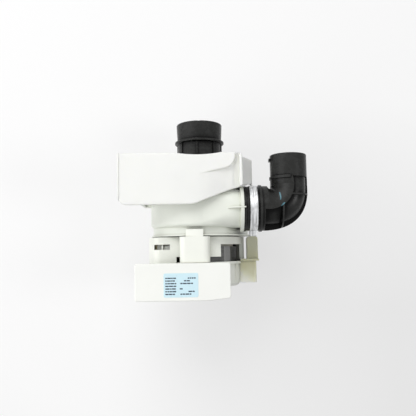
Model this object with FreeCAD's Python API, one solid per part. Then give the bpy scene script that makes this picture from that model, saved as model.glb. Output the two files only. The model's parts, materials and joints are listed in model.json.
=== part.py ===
import FreeCAD, Part
import math
import os
from FreeCAD import Vector

# Dishwasher circulation pump, lying on its back. Millimetres.
# X runs towards the outlet, Y along the pump axis towards the inlet, Z up.
# The origin is the centre of the inlet sleeve's mouth. Angles about the pump axis are counted
# from straight up (+Z) towards the outlet side (+X).

# Driving dimensions

# Clearances
fit = 0.1                    # pieces that slot into each other
running_gap = 0.4            # impeller neck in its collar
seal_film = 0.05             # between the two faces of the shaft seal
bearing_play = 0.03          # ball to raceway, at its closest
air_gap = 0.8                # rotor to stator
touch_gap = 0.3              # pieces that lie close without pressing

# Inlet sleeve, rubber
sleeve_bore_r = 20.5
sleeve_wall = 3.5
sleeve_free_depth = 24.0
sleeve_taper = 0.9
sleeve_stop_width = 2.5
sleeve_stop_height = 3.0
sleeve_grip = 28.0
sleeve_bead_y = 18.0
sleeve_bead_width = 2.6
sleeve_bead_height = 1.9
sleeve_collar_wall = 2.7
sleeve_rib_height = 0.9
sleeve_rib_width = 1.3
sleeve_rib_count = 8
sleeve_rib_start = -5.0      # degrees, the first rib seen from the front
sleeve_nick = 2.2            # small notch in the rim

# Ear clamps, steel band
band_width = 7.2
band_thick = 0.7
ear_height = 4.6
ear_half_width = 3.4

# Volute housing
pump_wall = 2.5
spigot_r = 20.0
cone_length = 15.0
volute_r = 45.9              # mean inner radius of the spiral
volute_step = 5.0            # growth of the spiral's radius for each quarter turn
chamber_depth = 36.5
chamber_round = 4.0
cone_rib_count = 8
rear_bore_r = 46.5
rear_band_depth = 11.2
flange_height = 1.5
flange_thick = 1.6
ear_tab_reach = 7.8          # shield ear, out from the volute wall
ear_tab_thick = 3.0
ear_tab_drop = 13.0          # from the volute's front to the ear

# Outlet spigot on the volute, and the rubber elbow on it
outlet_z = 41.0
outlet_r = 18.2
outlet_drop = 22.3           # outlet axis behind the volute's front
outlet_bead_x = 40.2
outlet_bead_height = 4.2     # the stop that the elbow is pushed up to
outlet_bead_width = 3.0
outlet_mark_length = 13.5    # rib that shows how the elbow is turned
outlet_mark_width = 1.2
outlet_grip = 16.2
outlet_clamp_shift = 0.6     # from the collar's middle, away from the volute
duct_low_z = 14.0
elbow_collar_wall = 3.2
elbow_lip_height = 0.5       # at the collar's open end
elbow_flange_height = 1.2    # at its end beside the bend
elbow_flange_width = 2.3
elbow_start_r = 21.6
elbow_end_r = 17.8
elbow_pocket_start = 5.0     # depth of the pockets at the start and the end of the bend
elbow_pocket_end = 1.8
elbow_wall = 3.1
elbow_bend_r = 21.8          # from the inner corner to the axis, at both ends of the bend
elbow_bulge = 2.1            # more than that in the middle of the bend
elbow_sections = 6
elbow_lead = 5.8             # straight run between collar and bend
elbow_tail = 8.2             # straight run between bend and step ring
elbow_mouth_length = 21.4
elbow_mouth_r = 17.6
elbow_rib = 1.6
elbow_ring = 2.4

# Impeller, closed, with backward-curved blades
impeller_r = 34.5
impeller_disc = 2.2
blade_count = 7
blade_height = 9.5
blade_thick = 1.6
blade_inner_r = 17.5
blade_wrap = 62.0            # degrees a blade lags from its inner to its outer end
neck_wall = 1.6
neck_length = 9.0
hub_r = 11.5
hub_length = 12.0
hub_recess = 7.4             # room for the seal behind the hub
impeller_rear_gap = 3.0
cap_r = 7.5
cap_height = 6.5

# Back plate and shaft seal
back_plate_thick = 3.6
seal_pocket_r = 13.0
seal_pocket_depth = 5.4
seal_seat_drop = 0.6         # the seat's face, behind the plate's front
seal_cup_floor = 1.2
seal_cup_height = 3.8
seal_cup_wall = 2.0
seal_bore_r = 6.0
seal_face_width = 3.6
seal_face_thick = 3.0
bellows_flange = 1.2
bellows_reach = 3.4          # into the hub
o_ring_cord = 3.0
spring_wire_r = 0.45
spring_turns = 3.0
slinger_r = 9.5
slinger_thick = 2.2

# Shaft and ball bearings, 8 x 22 x 7 mm
shaft_r = 4.0
bearing_r = 11.0
bearing_width = 7.0
ball_r = 1.984
ball_pitch_r = 7.55
ball_count = 7
ring_wall = 2.0
cage_wall = 1.2

# Motor
motor_gap = 0.8              # volute flange to front shield
shield_disc = 3.5
motor_bore_r = 37.7
motor_wall = 1.9
front_wall = 3.9
front_depth = 24.5
rear_depth = 24.5
rear_end_wall = 2.5
rear_round = 3.5
rear_ear_thick = 5.0
end_boss_height = 1.5        # around the bearing, on the outside
end_rib_height = 1.0
end_rib_count = 8
washer_thick = 0.6
rear_lip = 2.4
stack_start = 6.0            # behind the shield disc
stack_length = 26.0
rotor_r = 19.4
magnet_thick = 3.0
magnet_count = 4
magnet_gap = 0.6
rotor_length = 23.0
slot_count = 6
tooth_width = 9.0
shoe_thick = 2.0
shoe_half_angle = 25.0       # degrees
yoke_inner_r = 31.6
flat_half_angle = 23.9       # degrees, the flats between the stator's corners
stator_turn = 15.0           # degrees, centre of the first flat and tooth
coil_build = 4.2
coil_end = 3.6
bobbin_wall = 1.1
rib_height = 0.8
rib_width = 1.2
rib_step = 15.0              # degrees between the ribs of the rear housing
screw_boss_r = 3.2
screw_circle_r = 43.8
screw_r = 1.75
screw_head_r = 3.2
screw_head_height = 2.6
screw_cover = 5.0            # shield left in front of a screw's tip
screw_angles = [118.0, 180.0, 242.0]

# Front shield: cable hump, wire chamber, windows
hump_x = -5.1
hump_half_width = 14.4
hump_top = 53.0
hump_round = 6.0
tongue_width = 16.6
tongue_reach = 7.0
tongue_thick = 2.0
chamber_left = 52.3
chamber_top = 37.0
chamber_low = -14.0
chamber_wall = 2.0
slot_x = -37.3
slot_width = 15.4
slot_y = 9.5                 # behind the shield's front face
slot_height = 5.0
guide_right = 0.8            # lead guide under the slot, past the slot's middle
guide_drop = 4.0
guide_thick = 1.2
guide_margin = 3.0
window_x = 19.8
window_depth = 17.0
notch_depth = 5.0
latch_width = 3.8
latch_depth = 5.4
catch_height = 2.8           # rib that the connector hood hooks behind
catch_half_width = 3.0
lead_r = 0.9                 # motor leads
lead_step = 1.9
lead_drop = 9.5              # the topmost lead, below the chamber's top
lead_hole_margin = 1.7

# Electronics housing and lid
case_left = 60.9
case_right = 27.9
case_depth = 34.6
case_bulge = 2.1             # the front edge falls back by this at its right end
case_bend_r = 60.0           # where it starts to
pocket_round = 2.0
lid_top = 58.0
lid_thick = 2.0
lid_skirt = 6.5
lid_round = 2.0
case_wall = 1.8
case_floor = 40.0
pocket_width = 18.5
pocket_low = -5.0
board_thick = 1.6
board_height = 5.5           # above the case floor
board_screw_r = 1.2
board_screw_inset = 6.5      # from the outer faces of the case
board_post_r = 3.0
capacitor_r = 5.6
capacitor_length = 30.0
module_x = 1.0               # centre of the power module
module_rise = 15.0           # its middle, in front of the case's rear edge
module_length = 22.0
module_width = 12.0
module_thick = 3.0
module_pin_count = 8
module_pin = 0.7
sink_rim = 1.0
sink_plate = 1.2
sink_height = 3.0
sink_fin_count = 9
sink_fin = 0.8
choke_x = -26.0
choke_r = 5.2
choke_core_r = 2.6
label_x = -18.1
label_width = 32.0
label_height = 22.0
label_drop = 9.1             # behind the lid's rear edge
label_thick = 0.15
label_round = 1.5

# Connector hood and its pins
hood_rise = 2.0              # its flange, in front of the motor's parting plane
hood_left = 40.3
hood_right = 56.5
hood_root = 3.0              # of the socket, inside the motor's round wall
hood_depth = 22.0
socket_floor = 4.0
hood_half_height = 9.5
hood_wall = 1.6
hood_flange = 2.0
hood_flange_rim = 2.5
hood_flange_left = 1.5       # short of the rim on the side of the motor
hood_round = 2.0
chimney_left = 47.4
chimney_right = 58.6
chimney_length = 23.0
chimney_half_height = 6.5
chimney_round = 3.2
pin_count = 6
pin_side = 0.8
pin_length = 9.0

# Drip shield
plate_top = 65.0
plate_thick = 2.2
plate_left = 75.7
plate_right = 40.6
plate_start = 41.2
plate_depth = 48.4
plate_right_depth = 31.5
plate_skirt = 3.4
plate_corner = 9.0
plate_bend_x = -5.0          # where the front edge starts to fall back
scoop_top_drop = 4.5         # fall of the scoop at the right, along the rear edge
scoop_low_drop = 16.2        # and along the front edge
scoop_start_x = -2.0
scoop_edge_x = 38.0
pad_edge_x = 34.0
pad_depth = 13.0             # the raised pad, down from the plate's top edge
pad_corner = 12.0
side_skirt_x = 52.5
side_skirt_low = 25.0
side_skirt_knee = 38.0
side_skirt_thick = 2.0
plate_dip = 2.4              # how far the edge falls back over the inlet sleeve
post_r = 3.5
post_x = -24.0

# Feet
foot_level = -58.0           # the surface the pump lies on
foot_height = 6.0
foot_r = 7.0
foot_peg_r = 2.6
foot_peg_length = 5.0
pump_foot_x = 27.0
motor_foot_x = 20.0
leg_half_width = 8.0
leg_setback = 3.0            # of the motor's legs, from its rear end

# Stations along the pump axis, worked out from the sizes above
stop_y = -sleeve_free_depth
spigot_y = stop_y - sleeve_stop_width - fit
sleeve_end_y = spigot_y - sleeve_grip
cone_y = sleeve_end_y - 1.0
front_y = cone_y - cone_length
chamber_y = front_y - chamber_depth
band_y = chamber_y - rear_band_depth
outlet_y = front_y - outlet_drop
motor_y = band_y - motor_gap
disc_y = motor_y - shield_disc
split_y = motor_y - front_depth
rear_y = split_y - rear_depth
stack_y = disc_y - stack_start
stack_end_y = stack_y - stack_length
front_bearing_y = disc_y - bearing_width
rear_bearing_y = rear_y + rear_end_wall + washer_thick
plate_edge_y = -plate_start
case_y = split_y - touch_gap
case_end_y = case_y - case_depth

# Radii worked out from the sizes above
sleeve_mouth_r = sleeve_bore_r + sleeve_wall
sleeve_collar_r = spigot_r + sleeve_collar_wall
spigot_bore_r = spigot_r - pump_wall
rear_band_r = rear_bore_r + pump_wall
flange_r = rear_band_r + flange_height
elbow_collar_r = outlet_r + elbow_collar_wall
elbow_mouth_bore_r = elbow_mouth_r - elbow_wall
neck_r = spigot_bore_r + neck_wall
rotor_core_r = rotor_r - magnet_thick
stator_bore_r = rotor_r + air_gap
stator_r = motor_bore_r - fit
rear_outer_r = motor_bore_r + motor_wall
front_outer_r = motor_bore_r + front_wall

X_AXIS = Vector(1, 0, 0)
Y_AXIS = Vector(0, 1, 0)
Z_AXIS = Vector(0, 0, 1)
ORIGIN = Vector(0, 0, 0)
BEYOND = 1.0                 # how far a cutting solid passes the face it cuts


# Basic solids

def rod_y(radius, y_low, y_high, x=0.0, z=0.0):
    return Part.makeCylinder(radius, y_high - y_low, Vector(x, y_low, z), Y_AXIS)


def rod_x(radius, x_low, x_high, y, z):
    return Part.makeCylinder(radius, x_high - x_low, Vector(x_low, y, z), X_AXIS)


def rod_z(radius, z_low, z_high, x, y):
    return Part.makeCylinder(radius, z_high - z_low, Vector(x, y, z_low), Z_AXIS)


def tube_y(outer, inner, y_low, y_high, x=0.0, z=0.0):
    bore = rod_y(inner, y_low - BEYOND, y_high + BEYOND, x, z)
    return rod_y(outer, y_low, y_high, x, z).cut(bore)


def tube_x(outer, inner, x_low, x_high, y, z):
    bore = rod_x(inner, x_low - BEYOND, x_high + BEYOND, y, z)
    return rod_x(outer, x_low, x_high, y, z).cut(bore)


def blind_tube_z(outer, inner, z_low, z_high, x, y):
    """Tube along Z, closed by a bottom one millimetre thick."""
    return rod_z(outer, z_low, z_high, x, y).cut(rod_z(inner, z_low + 1.0, z_high + BEYOND, x, y))


def block(x_low, x_high, y_low, y_high, z_low, z_high):
    return Part.makeBox(x_high - x_low, y_high - y_low, z_high - z_low, Vector(x_low, y_low, z_low))


def turned_about_axis(shape, angle):
    copy = shape.copy()
    copy.rotate(ORIGIN, Y_AXIS, angle)
    return copy


def polar(radius, angle):
    turn = math.radians(angle)
    return radius * math.sin(turn), radius * math.cos(turn)


def joined(shapes):
    first = shapes[0]
    if len(shapes) == 1:
        return first
    return first.fuse(shapes[1:]).removeSplitter()


# Outlines

def rounded_path(points, radii, closed):
    """Edges through the points, with an arc of the given radius in place of each corner."""
    stretches = []
    last = len(points) - 1
    for i, here in enumerate(points):
        at_end = not closed and i in (0, last)
        if at_end or radii[i] <= 0.0:
            stretches.append([here])
            continue
        following = (i + 1) % len(points)
        before = points[i - 1] - here
        after = points[following] - here
        half = before.getAngle(after) / 2.0
        room_before = before.Length * (0.49 if radii[i - 1] > 0.0 else 0.98)
        room_after = after.Length * (0.49 if radii[following] > 0.0 else 0.98)
        radius = min(radii[i], min(room_before, room_after) * math.tan(half))
        before.normalize()
        after.normalize()
        reach = radius / math.tan(half)
        bisector = before + after
        bisector.normalize()
        middle = here + bisector * (radius / math.sin(half) - radius)
        stretches.append([here + before * reach, middle, here + after * reach])
    edges = []
    for i, stretch in enumerate(stretches):
        if len(stretch) == 3:
            edges.append(Part.Arc(*stretch).toShape())
        if i == last and not closed:
            break
        target = stretches[(i + 1) % len(points)][0]
        if stretch[-1].distanceToPoint(target) > 1e-6:
            edges.append(Part.makeLine(stretch[-1], target))
    return Part.Wire(edges)


def arc_leaving(start, direction, end):
    """Arc that leaves start along a direction and ends at end."""
    chord = end - start
    along = Vector(chord)
    along.normalize()
    outward = direction - along * direction.dot(along)
    outward.normalize()
    rise = 0.5 * chord.Length * math.tan(0.5 * direction.getAngle(chord))
    return Part.Arc(start, start + chord * 0.5 + outward * rise, end).toShape()


def biarc(start, leaving, end, arriving):
    """Two arcs that meet smoothly, from start to end, with the given directions at both."""
    across = end - start
    both = leaving + arriving
    bend = 2.0 * (1.0 - leaving.dot(arriving))
    reach = (math.sqrt(across.dot(both) ** 2 + bend * across.dot(across)) - across.dot(both)) / bend
    middle = (start + leaving * reach + end - arriving * reach) * 0.5
    first = arc_leaving(start, leaving, middle)
    second = arc_leaving(end, arriving * -1.0, middle)
    return [first, second]


def helix_path(radius, y_low, y_high, turns):
    """Helix about the pump axis, as two arcs for each quarter turn."""
    steps = int(round(4 * turns))
    climb = (y_high - y_low) / (2.0 * math.pi * turns)
    spots = []
    for i in range(steps + 1):
        turn = 2.0 * math.pi * turns * i / steps
        direction = Vector(-radius * math.sin(turn), climb, radius * math.cos(turn))
        direction.normalize()
        spots.append((Vector(radius * math.cos(turn), y_low + climb * turn, radius * math.sin(turn)), direction))
    edges = []
    for (start, leaving), (end, arriving) in zip(spots, spots[1:]):
        edges += biarc(start, leaving, end, arriving)
    return Part.Wire(edges)


def outline(corners, place):
    """Closed wire through corners (u, v) or (u, v, corner radius), set in space by place(u, v)."""
    points = [place(corner[0], corner[1]) for corner in corners]
    radii = [corner[2] if len(corner) == 3 else 0.0 for corner in corners]
    return rounded_path(points, radii, True)


def prism_y(corners, y_low, y_high):
    """Outline in X and Z, drawn out along Y."""
    wire = outline(corners, lambda u, v: Vector(u, y_low, v))
    return Part.Face(wire).extrude(Vector(0, y_high - y_low, 0))


def prism_z(corners, z_low, z_high):
    """Outline in X and Y, drawn out along Z."""
    wire = outline(corners, lambda u, v: Vector(u, v, z_low))
    return Part.Face(wire).extrude(Vector(0, 0, z_high - z_low))


def prism_x(corners, x_low, x_high):
    """Outline in Y and Z, drawn out along X."""
    wire = outline(corners, lambda u, v: Vector(x_low, u, v))
    return Part.Face(wire).extrude(Vector(x_high - x_low, 0, 0))


def turned(corners):
    """Outline in radius and Y, turned about the pump axis."""
    wire = outline(corners, lambda u, v: Vector(u, v, 0))
    return Part.Face(wire).revolve(ORIGIN, Y_AXIS, 360)


# Rubber sleeve on the inlet

def inlet_sleeve():
    bead_low = -sleeve_bead_y - sleeve_bead_width
    bead_r = sleeve_collar_r + sleeve_bead_height + 1.2
    neck_r_low = sleeve_mouth_r - sleeve_taper
    body = turned([
        (sleeve_bore_r, 0.0),
        (sleeve_mouth_r, 0.0, 1.2),
        (neck_r_low, -sleeve_bead_y),
        (bead_r, -sleeve_bead_y - 0.5, 0.8),
        (bead_r, bead_low, 0.8),
        (sleeve_collar_r, bead_low - 0.8),
        (sleeve_collar_r, sleeve_end_y, 0.8),
        (spigot_r, sleeve_end_y),
        (spigot_r, stop_y - sleeve_stop_width),
        (sleeve_bore_r - sleeve_stop_height, stop_y - sleeve_stop_width, 0.6),
        (sleeve_bore_r - sleeve_stop_height, stop_y, 0.6),
        (sleeve_bore_r, stop_y),
    ])
    clamp_top = sleeve_end_y + band_width + 2.0 * fit + 2.2
    rib = block(-sleeve_rib_width / 2, sleeve_rib_width / 2, clamp_top, bead_low + 0.5,
                sleeve_collar_r - 0.6, sleeve_collar_r + sleeve_rib_height)
    ribs = [turned_about_axis(rib, sleeve_rib_start + i * 360.0 / sleeve_rib_count)
            for i in range(sleeve_rib_count)]
    nick = block(-sleeve_nick / 2, sleeve_nick / 2, -sleeve_nick / 2, BEYOND,
                 sleeve_mouth_r - 0.6 * sleeve_wall, sleeve_mouth_r + BEYOND)
    return joined([body] + ribs).cut(nick)


def ear_clamp(inner_r):
    """Steel band about the X axis, its crimped ear pointing to -Y."""
    outer = inner_r + band_thick
    half = band_width / 2
    band = tube_x(outer, inner_r, -half, half, 0.0, 0.0)
    foot = outer - 0.5 * band_thick
    tip = outer + ear_height
    neck = 0.62 * ear_half_width
    ear = prism_x([
        (-foot, -ear_half_width),
        (-tip, -neck, 1.2),
        (-tip, neck, 1.2),
        (-foot, ear_half_width),
    ], -half, half)
    hollow = prism_x([
        (-foot + band_thick, -ear_half_width + band_thick),
        (-tip + band_thick, -neck + band_thick, 0.6),
        (-tip + band_thick, neck - band_thick, 0.6),
        (-foot + band_thick, ear_half_width - band_thick),
    ], -half - BEYOND, half + BEYOND)
    ear = ear.cut(hollow).cut(rod_x(inner_r, -half - BEYOND, half + BEYOND, 0.0, 0.0))
    return joined([band, ear])


def inlet_clamp():
    clamp = ear_clamp(sleeve_collar_r)
    clamp.rotate(ORIGIN, Z_AXIS, 90)
    clamp.rotate(ORIGIN, Y_AXIS, 120)
    clamp.translate(Vector(0, sleeve_end_y + 1.2 + band_width / 2, 0))
    return clamp


def outlet_clamp():
    clamp = ear_clamp(elbow_collar_r)
    middle = (elbow_collar_start() + elbow_collar_end()) / 2
    clamp.translate(Vector(middle + outlet_clamp_shift, outlet_y, outlet_z))
    return clamp


# Volute housing

def spiral_face(grow, y):
    """Spiral outline: three quarter arcs that grow, then the corner that leads into the outlet."""
    half = volute_step / 2
    radii = [volute_r - volute_step + grow, volute_r + grow, volute_r + volute_step + grow]
    centres = [(-half, -half), (-half, half), (half, half)]
    spans = [(90, 135, 180), (180, 225, 270), (270, 315, 360)]
    edges = []
    for radius, centre, span in zip(radii, centres, spans):
        spots = []
        for angle in span:
            x, z = polar(radius, angle)
            spots.append(Vector(centre[0] + x, y, centre[1] + z))
        edges.append(Part.Arc(*spots).toShape())
    start = edges[0].Vertexes[0].Point
    top = edges[2].Vertexes[-1].Point
    corner = Vector(start.x, y, top.z)
    corner_r = 0.85 * min(start.x - top.x, top.z - start.z)
    lead = rounded_path([top, corner, start], [0.0, corner_r, 0.0], False)
    return Part.Face(Part.Wire(edges + lead.Edges))


def duct(inset):
    """Outlet duct: leaves the spiral with its rounded section and ends as the round spigot."""
    top = volute_r + volute_step * 1.5 + pump_wall - inset
    low = duct_low_z + inset
    y_high = front_y - inset
    y_low = chamber_y - pump_wall + inset
    near = [(y_low, low, chamber_round), (y_high, low, chamber_round),
            (y_high, top, chamber_round), (y_low, top, chamber_round)]
    side = outlet_r - inset
    roundness = side - 0.05
    far = [(outlet_y - side, outlet_z - side, roundness), (outlet_y + side, outlet_z - side, roundness),
           (outlet_y + side, outlet_z + side, roundness), (outlet_y - side, outlet_z + side, roundness)]
    near_wire = outline(near, lambda u, v: Vector(volute_step / 2, u, v))
    far_wire = outline(far, lambda u, v: Vector(duct_end_x(), u, v))
    return Part.makeLoft([near_wire, far_wire], True, True)


def duct_end_x():
    return outlet_bead_x - outlet_bead_width


def cone_rib():
    """Web on the cone in front of the spiral."""
    foot = spigot_r + 0.17 * (volute_r - spigot_r)
    rim = volute_r - volute_step - 1.0
    return prism_z([
        (spigot_r - 1.0, cone_y - 0.5),
        (foot, cone_y - 0.5),
        (rim, front_y + 1.2),
        (rim, front_y - 1.0),
        (spigot_r - 1.0, front_y - 1.0),
    ], -rib_width / 2, rib_width / 2)


def outlet_mark():
    """Rib on top of the spigot, and the pointer that it ends in over the elbow's collar."""
    base = outlet_z + outlet_r
    top = base + outlet_bead_height + 0.4
    y_low = outlet_y - outlet_mark_width / 2
    y_high = outlet_y + outlet_mark_width / 2
    web = prism_y([
        (outlet_bead_x - outlet_mark_length, outlet_z),
        (outlet_bead_x, outlet_z),
        (outlet_bead_x, top),
        (outlet_bead_x - outlet_bead_width, top),
        (outlet_bead_x - outlet_mark_length, base + 0.4),
    ], y_low, y_high)
    pointer = block(outlet_bead_x, elbow_collar_start() + 1.5, y_low, y_high,
                    outlet_z + elbow_collar_r + elbow_lip_height + fit, top)
    return web, pointer


def volute_leg(side):
    x = side * pump_foot_x
    y = (front_y + chamber_y) / 2
    leg = block(x - leg_half_width, x + leg_half_width, y - leg_half_width, y + leg_half_width,
                foot_level + foot_height, 0.0)
    return leg.cut(rod_z(foot_peg_r + fit, foot_level, foot_level + foot_height + foot_peg_length + 1.0, x, y))


def shield_ear():
    """Ear on the volute's left flank with the fin that carries the drip shield."""
    y_high = front_y - ear_tab_drop
    y_low = y_high - ear_tab_thick
    wall_x = -(volute_r + volute_step / 2 + pump_wall)
    tip_x = wall_x - ear_tab_reach
    tab = block(tip_x, wall_x + 3.0 * pump_wall, y_low, y_high, -6.0, 6.0)
    fin = block(tip_x, tip_x + ear_tab_thick, y_low, y_high, -6.0, plate_top - plate_thick - fit)
    return [tab, fin]


def post_place():
    """Post from the volute's cone to the drip shield: its X and Y."""
    return post_x, cone_y - 0.55 * cone_length


def volute_outside():
    x, y = post_place()
    floor_y = chamber_y - pump_wall
    body = spiral_face(pump_wall, floor_y).extrude(Vector(0, chamber_depth + pump_wall, 0))
    rear_edges = [edge for edge in body.Edges if abs(edge.CenterOfMass.y - floor_y) < 1e-6]
    body = body.makeFillet(chamber_round, rear_edges)
    cone = turned([
        (0.0, cone_y),
        (spigot_r, cone_y),
        (volute_r - volute_step, front_y),
        (volute_r - volute_step, front_y - pump_wall),
        (0.0, front_y - pump_wall),
    ])
    pieces = [
        body,
        cone,
        rod_y(spigot_r, front_y, spigot_y),
        rod_y(rear_band_r, band_y, chamber_y + chamber_round),
        rod_y(flange_r, band_y, band_y + flange_thick),
        duct(0.0),
        rod_x(outlet_r, duct_end_x(), outlet_bead_x + outlet_grip, outlet_y, outlet_z),
        rod_x(outlet_r + outlet_bead_height, outlet_bead_x - outlet_bead_width / 2,
              outlet_bead_x + outlet_bead_width / 2, outlet_y, outlet_z),
        outlet_mark()[0],
        volute_leg(-1),
        volute_leg(1),
        rod_z(post_r, 0.0, plate_top - plate_thick - fit, x, y),
    ]
    pieces += shield_ear()
    pieces += [turned_about_axis(cone_rib(), i * 360.0 / cone_rib_count) for i in range(cone_rib_count)]
    return joined(pieces)


def volute_inside():
    slope = (volute_r - spigot_r) / cone_length
    x_end = outlet_bead_x + outlet_grip + BEYOND
    cone = turned([
        (0.0, cone_y + BEYOND),
        (spigot_bore_r, cone_y + BEYOND),
        (spigot_bore_r, cone_y - pump_wall / slope),
        (volute_r - volute_step - pump_wall, front_y - pump_wall),
        (volute_r - volute_step - pump_wall, front_y - 2 * pump_wall),
        (0.0, front_y - 2 * pump_wall),
    ])
    return joined([
        spiral_face(0.0, chamber_y).extrude(Vector(0, chamber_depth - pump_wall, 0)),
        cone,
        rod_y(spigot_bore_r, front_y, spigot_y + BEYOND),
        rod_y(rear_bore_r, band_y - BEYOND, chamber_y + touch_gap),
        duct(pump_wall),
        rod_x(outlet_r - pump_wall, duct_end_x() - BEYOND, x_end, outlet_y, outlet_z),
    ])


def volute_housing():
    shell = volute_outside().cut(volute_inside())
    elbow_room = tube_x(elbow_collar_r + elbow_flange_height + fit, outlet_r,
                        elbow_collar_start(), elbow_collar_end(), outlet_y, outlet_z)
    shell = shell.cut(elbow_room)
    collar_inner = neck_r + running_gap
    collar_low = shroud_y() + 1.2
    collar = tube_y(collar_inner + pump_wall, collar_inner, collar_low, cone_y - 0.6 * pump_wall)
    return joined([shell, collar, outlet_mark()[1]])


# Impeller

def disc_rear_y():
    return chamber_y + impeller_rear_gap


def blade_rear_y():
    return disc_rear_y() + impeller_disc


def shroud_y():
    """Front face of the shroud's flat ring."""
    return blade_rear_y() + blade_height + impeller_disc


def blade():
    """One blade between two arcs, lagging behind the turn from inlet to rim."""
    y = blade_rear_y() - 0.3
    half = math.degrees(blade_thick / 2 / blade_inner_r)
    half_tip = math.degrees(blade_thick / 2 / impeller_r)

    def spot(radius, angle):
        x, z = polar(radius, angle)
        return Vector(x, y, z)

    middle_r = (blade_inner_r + impeller_r) / 2
    half_mid = (half + half_tip) / 2
    tip_r = impeller_r - 0.2
    lead = Part.Arc(spot(blade_inner_r, half), spot(middle_r, half_mid - 0.36 * blade_wrap),
                    spot(tip_r, half_tip - blade_wrap)).toShape()
    trail = Part.Arc(spot(tip_r, -half_tip - blade_wrap), spot(middle_r, -half_mid - 0.36 * blade_wrap),
                     spot(blade_inner_r, -half)).toShape()
    tip = Part.makeLine(lead.Vertexes[-1].Point, trail.Vertexes[0].Point)
    root = Part.makeLine(trail.Vertexes[-1].Point, lead.Vertexes[0].Point)
    return Part.Face(Part.Wire([lead, tip, trail, root])).extrude(Vector(0, blade_height + 0.3, 0))


def impeller_base():
    rear = disc_rear_y()
    front = blade_rear_y()
    recess_end = rear + hub_recess
    disc = rod_y(impeller_r, rear, front)
    hub = turned([(0.0, rear), (hub_r + 3.0, rear), (hub_r + 3.0, front), (hub_r, front + 3.0, 3.0),
                  (hub_r - 2.5, rear + hub_length), (0.0, rear + hub_length)])
    blades = [turned_about_axis(blade(), i * 360.0 / blade_count) for i in range(blade_count)]
    wheel = joined([disc, hub] + blades)
    bore = rod_y(shaft_r, rear - BEYOND, rear + hub_length + BEYOND)
    recess = rod_y(hub_r - 2.0, rear - BEYOND, recess_end)
    return wheel.cut(bore).cut(recess)


def impeller_shroud():
    low = shroud_y() - impeller_disc
    return turned([
        (spigot_bore_r, low),
        (impeller_r, low),
        (impeller_r, low + impeller_disc),
        (neck_r, low + impeller_disc),
        (neck_r, low + impeller_disc + neck_length, 0.5),
        (spigot_bore_r, low + impeller_disc + neck_length, 0.5),
    ])


def impeller_cap():
    base = disc_rear_y() + hub_length
    dome = turned([(0.0, base), (cap_r, base), (cap_r, base + 0.35 * cap_height, 1.0),
                   (0.5 * cap_r, base + cap_height, 2.5), (0.0, base + cap_height)])
    return dome.cut(rod_y(shaft_r - 0.8, base - BEYOND, base + 0.5 * cap_height))


# Back plate and shaft seal

def back_plate():
    rim_r = rear_bore_r - fit
    low = chamber_y - back_plate_thick
    disc = rod_y(rim_r, low, chamber_y)
    rim = tube_y(rim_r, rim_r - 4.5, band_y, chamber_y)
    pocket = rod_y(seal_pocket_r + 2.5, chamber_y - seal_pocket_depth - 2.5, chamber_y)
    spoke = block(-1.2, 1.2, chamber_y - seal_pocket_depth, chamber_y - 1.0, seal_pocket_r, rim_r - 2.0)
    spokes = [turned_about_axis(spoke, 15.0 + 45.0 * i) for i in range(8)]
    plate = joined([disc, rim, pocket] + spokes)
    plate = plate.cut(rod_y(seal_pocket_r, chamber_y - seal_pocket_depth, chamber_y + BEYOND))
    plate = plate.cut(rod_y(seal_bore_r, band_y, chamber_y + BEYOND))
    return plate.cut(Part.makeTorus(rim_r - 0.32 * o_ring_cord, o_ring_cord / 2, Vector(0, o_ring_y(), 0), Y_AXIS))


def o_ring_y():
    return band_y + 0.45 * rear_band_depth


def housing_o_ring():
    rim_r = rear_bore_r - fit
    ring = Part.makeTorus(rim_r - 0.32 * o_ring_cord, o_ring_cord / 2, Vector(0, o_ring_y(), 0), Y_AXIS)
    return ring.common(rod_y(rear_bore_r, band_y, chamber_y))


def seal_seat_cup():
    low = chamber_y - seal_pocket_depth
    inner = seal_pocket_r - seal_cup_wall
    cup = rod_y(seal_pocket_r, low, low + seal_cup_height)
    cup = cup.cut(rod_y(inner, low + seal_cup_floor, low + seal_cup_height + BEYOND))
    return cup.cut(rod_y(seal_bore_r + 0.5, low - BEYOND, low + seal_cup_floor + BEYOND))


def seal_seat_ring():
    low = chamber_y - seal_pocket_depth + seal_cup_floor
    return tube_y(seal_pocket_r - seal_cup_wall, seal_bore_r + 0.2, low, chamber_y - seal_seat_drop)


def seal_face_y():
    """Rear face of the carbon ring."""
    return chamber_y - seal_seat_drop + seal_film


def seal_face_ring():
    low = seal_face_y()
    return tube_y(seal_bore_r + seal_face_width, seal_bore_r, low, low + seal_face_thick)


def seal_bellows():
    low = seal_face_y() + seal_face_thick
    top = disc_rear_y() + bellows_reach
    rim_r = hub_r - 3.0
    shoulder = low + 1.5 * bellows_flange
    return turned([(shaft_r, low), (rim_r, low), (rim_r, low + bellows_flange, 0.4),
                   (shaft_r + 1.5 * bellows_flange, shoulder, 0.4), (shaft_r + bellows_flange, top),
                   (shaft_r, top)])


def seal_spring():
    """Wound wire between the seal face and the bottom of the hub's recess."""
    low = seal_face_y() + seal_face_thick + 1.5 * bellows_flange + spring_wire_r
    top = disc_rear_y() + hub_recess - 1.5 * spring_wire_r
    path = helix_path(shaft_r + 3.6, low, top, spring_turns)
    start = path.Edges[0]
    at = start.FirstParameter
    section = Part.makeCircle(spring_wire_r, start.valueAt(at), start.tangentAt(at))
    return path.makePipeShell([Part.Wire(section)], True)


def shaft_slinger():
    """Rubber ring that throws a leak off the shaft before it reaches the bearing."""
    low = motor_y + 1.4
    return turned([(shaft_r, low), (slinger_r, low), (slinger_r, low + 0.5 * slinger_thick, 0.4),
                   (shaft_r + 2.0, low + slinger_thick), (shaft_r, low + slinger_thick)])


# Outlet elbow

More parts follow.
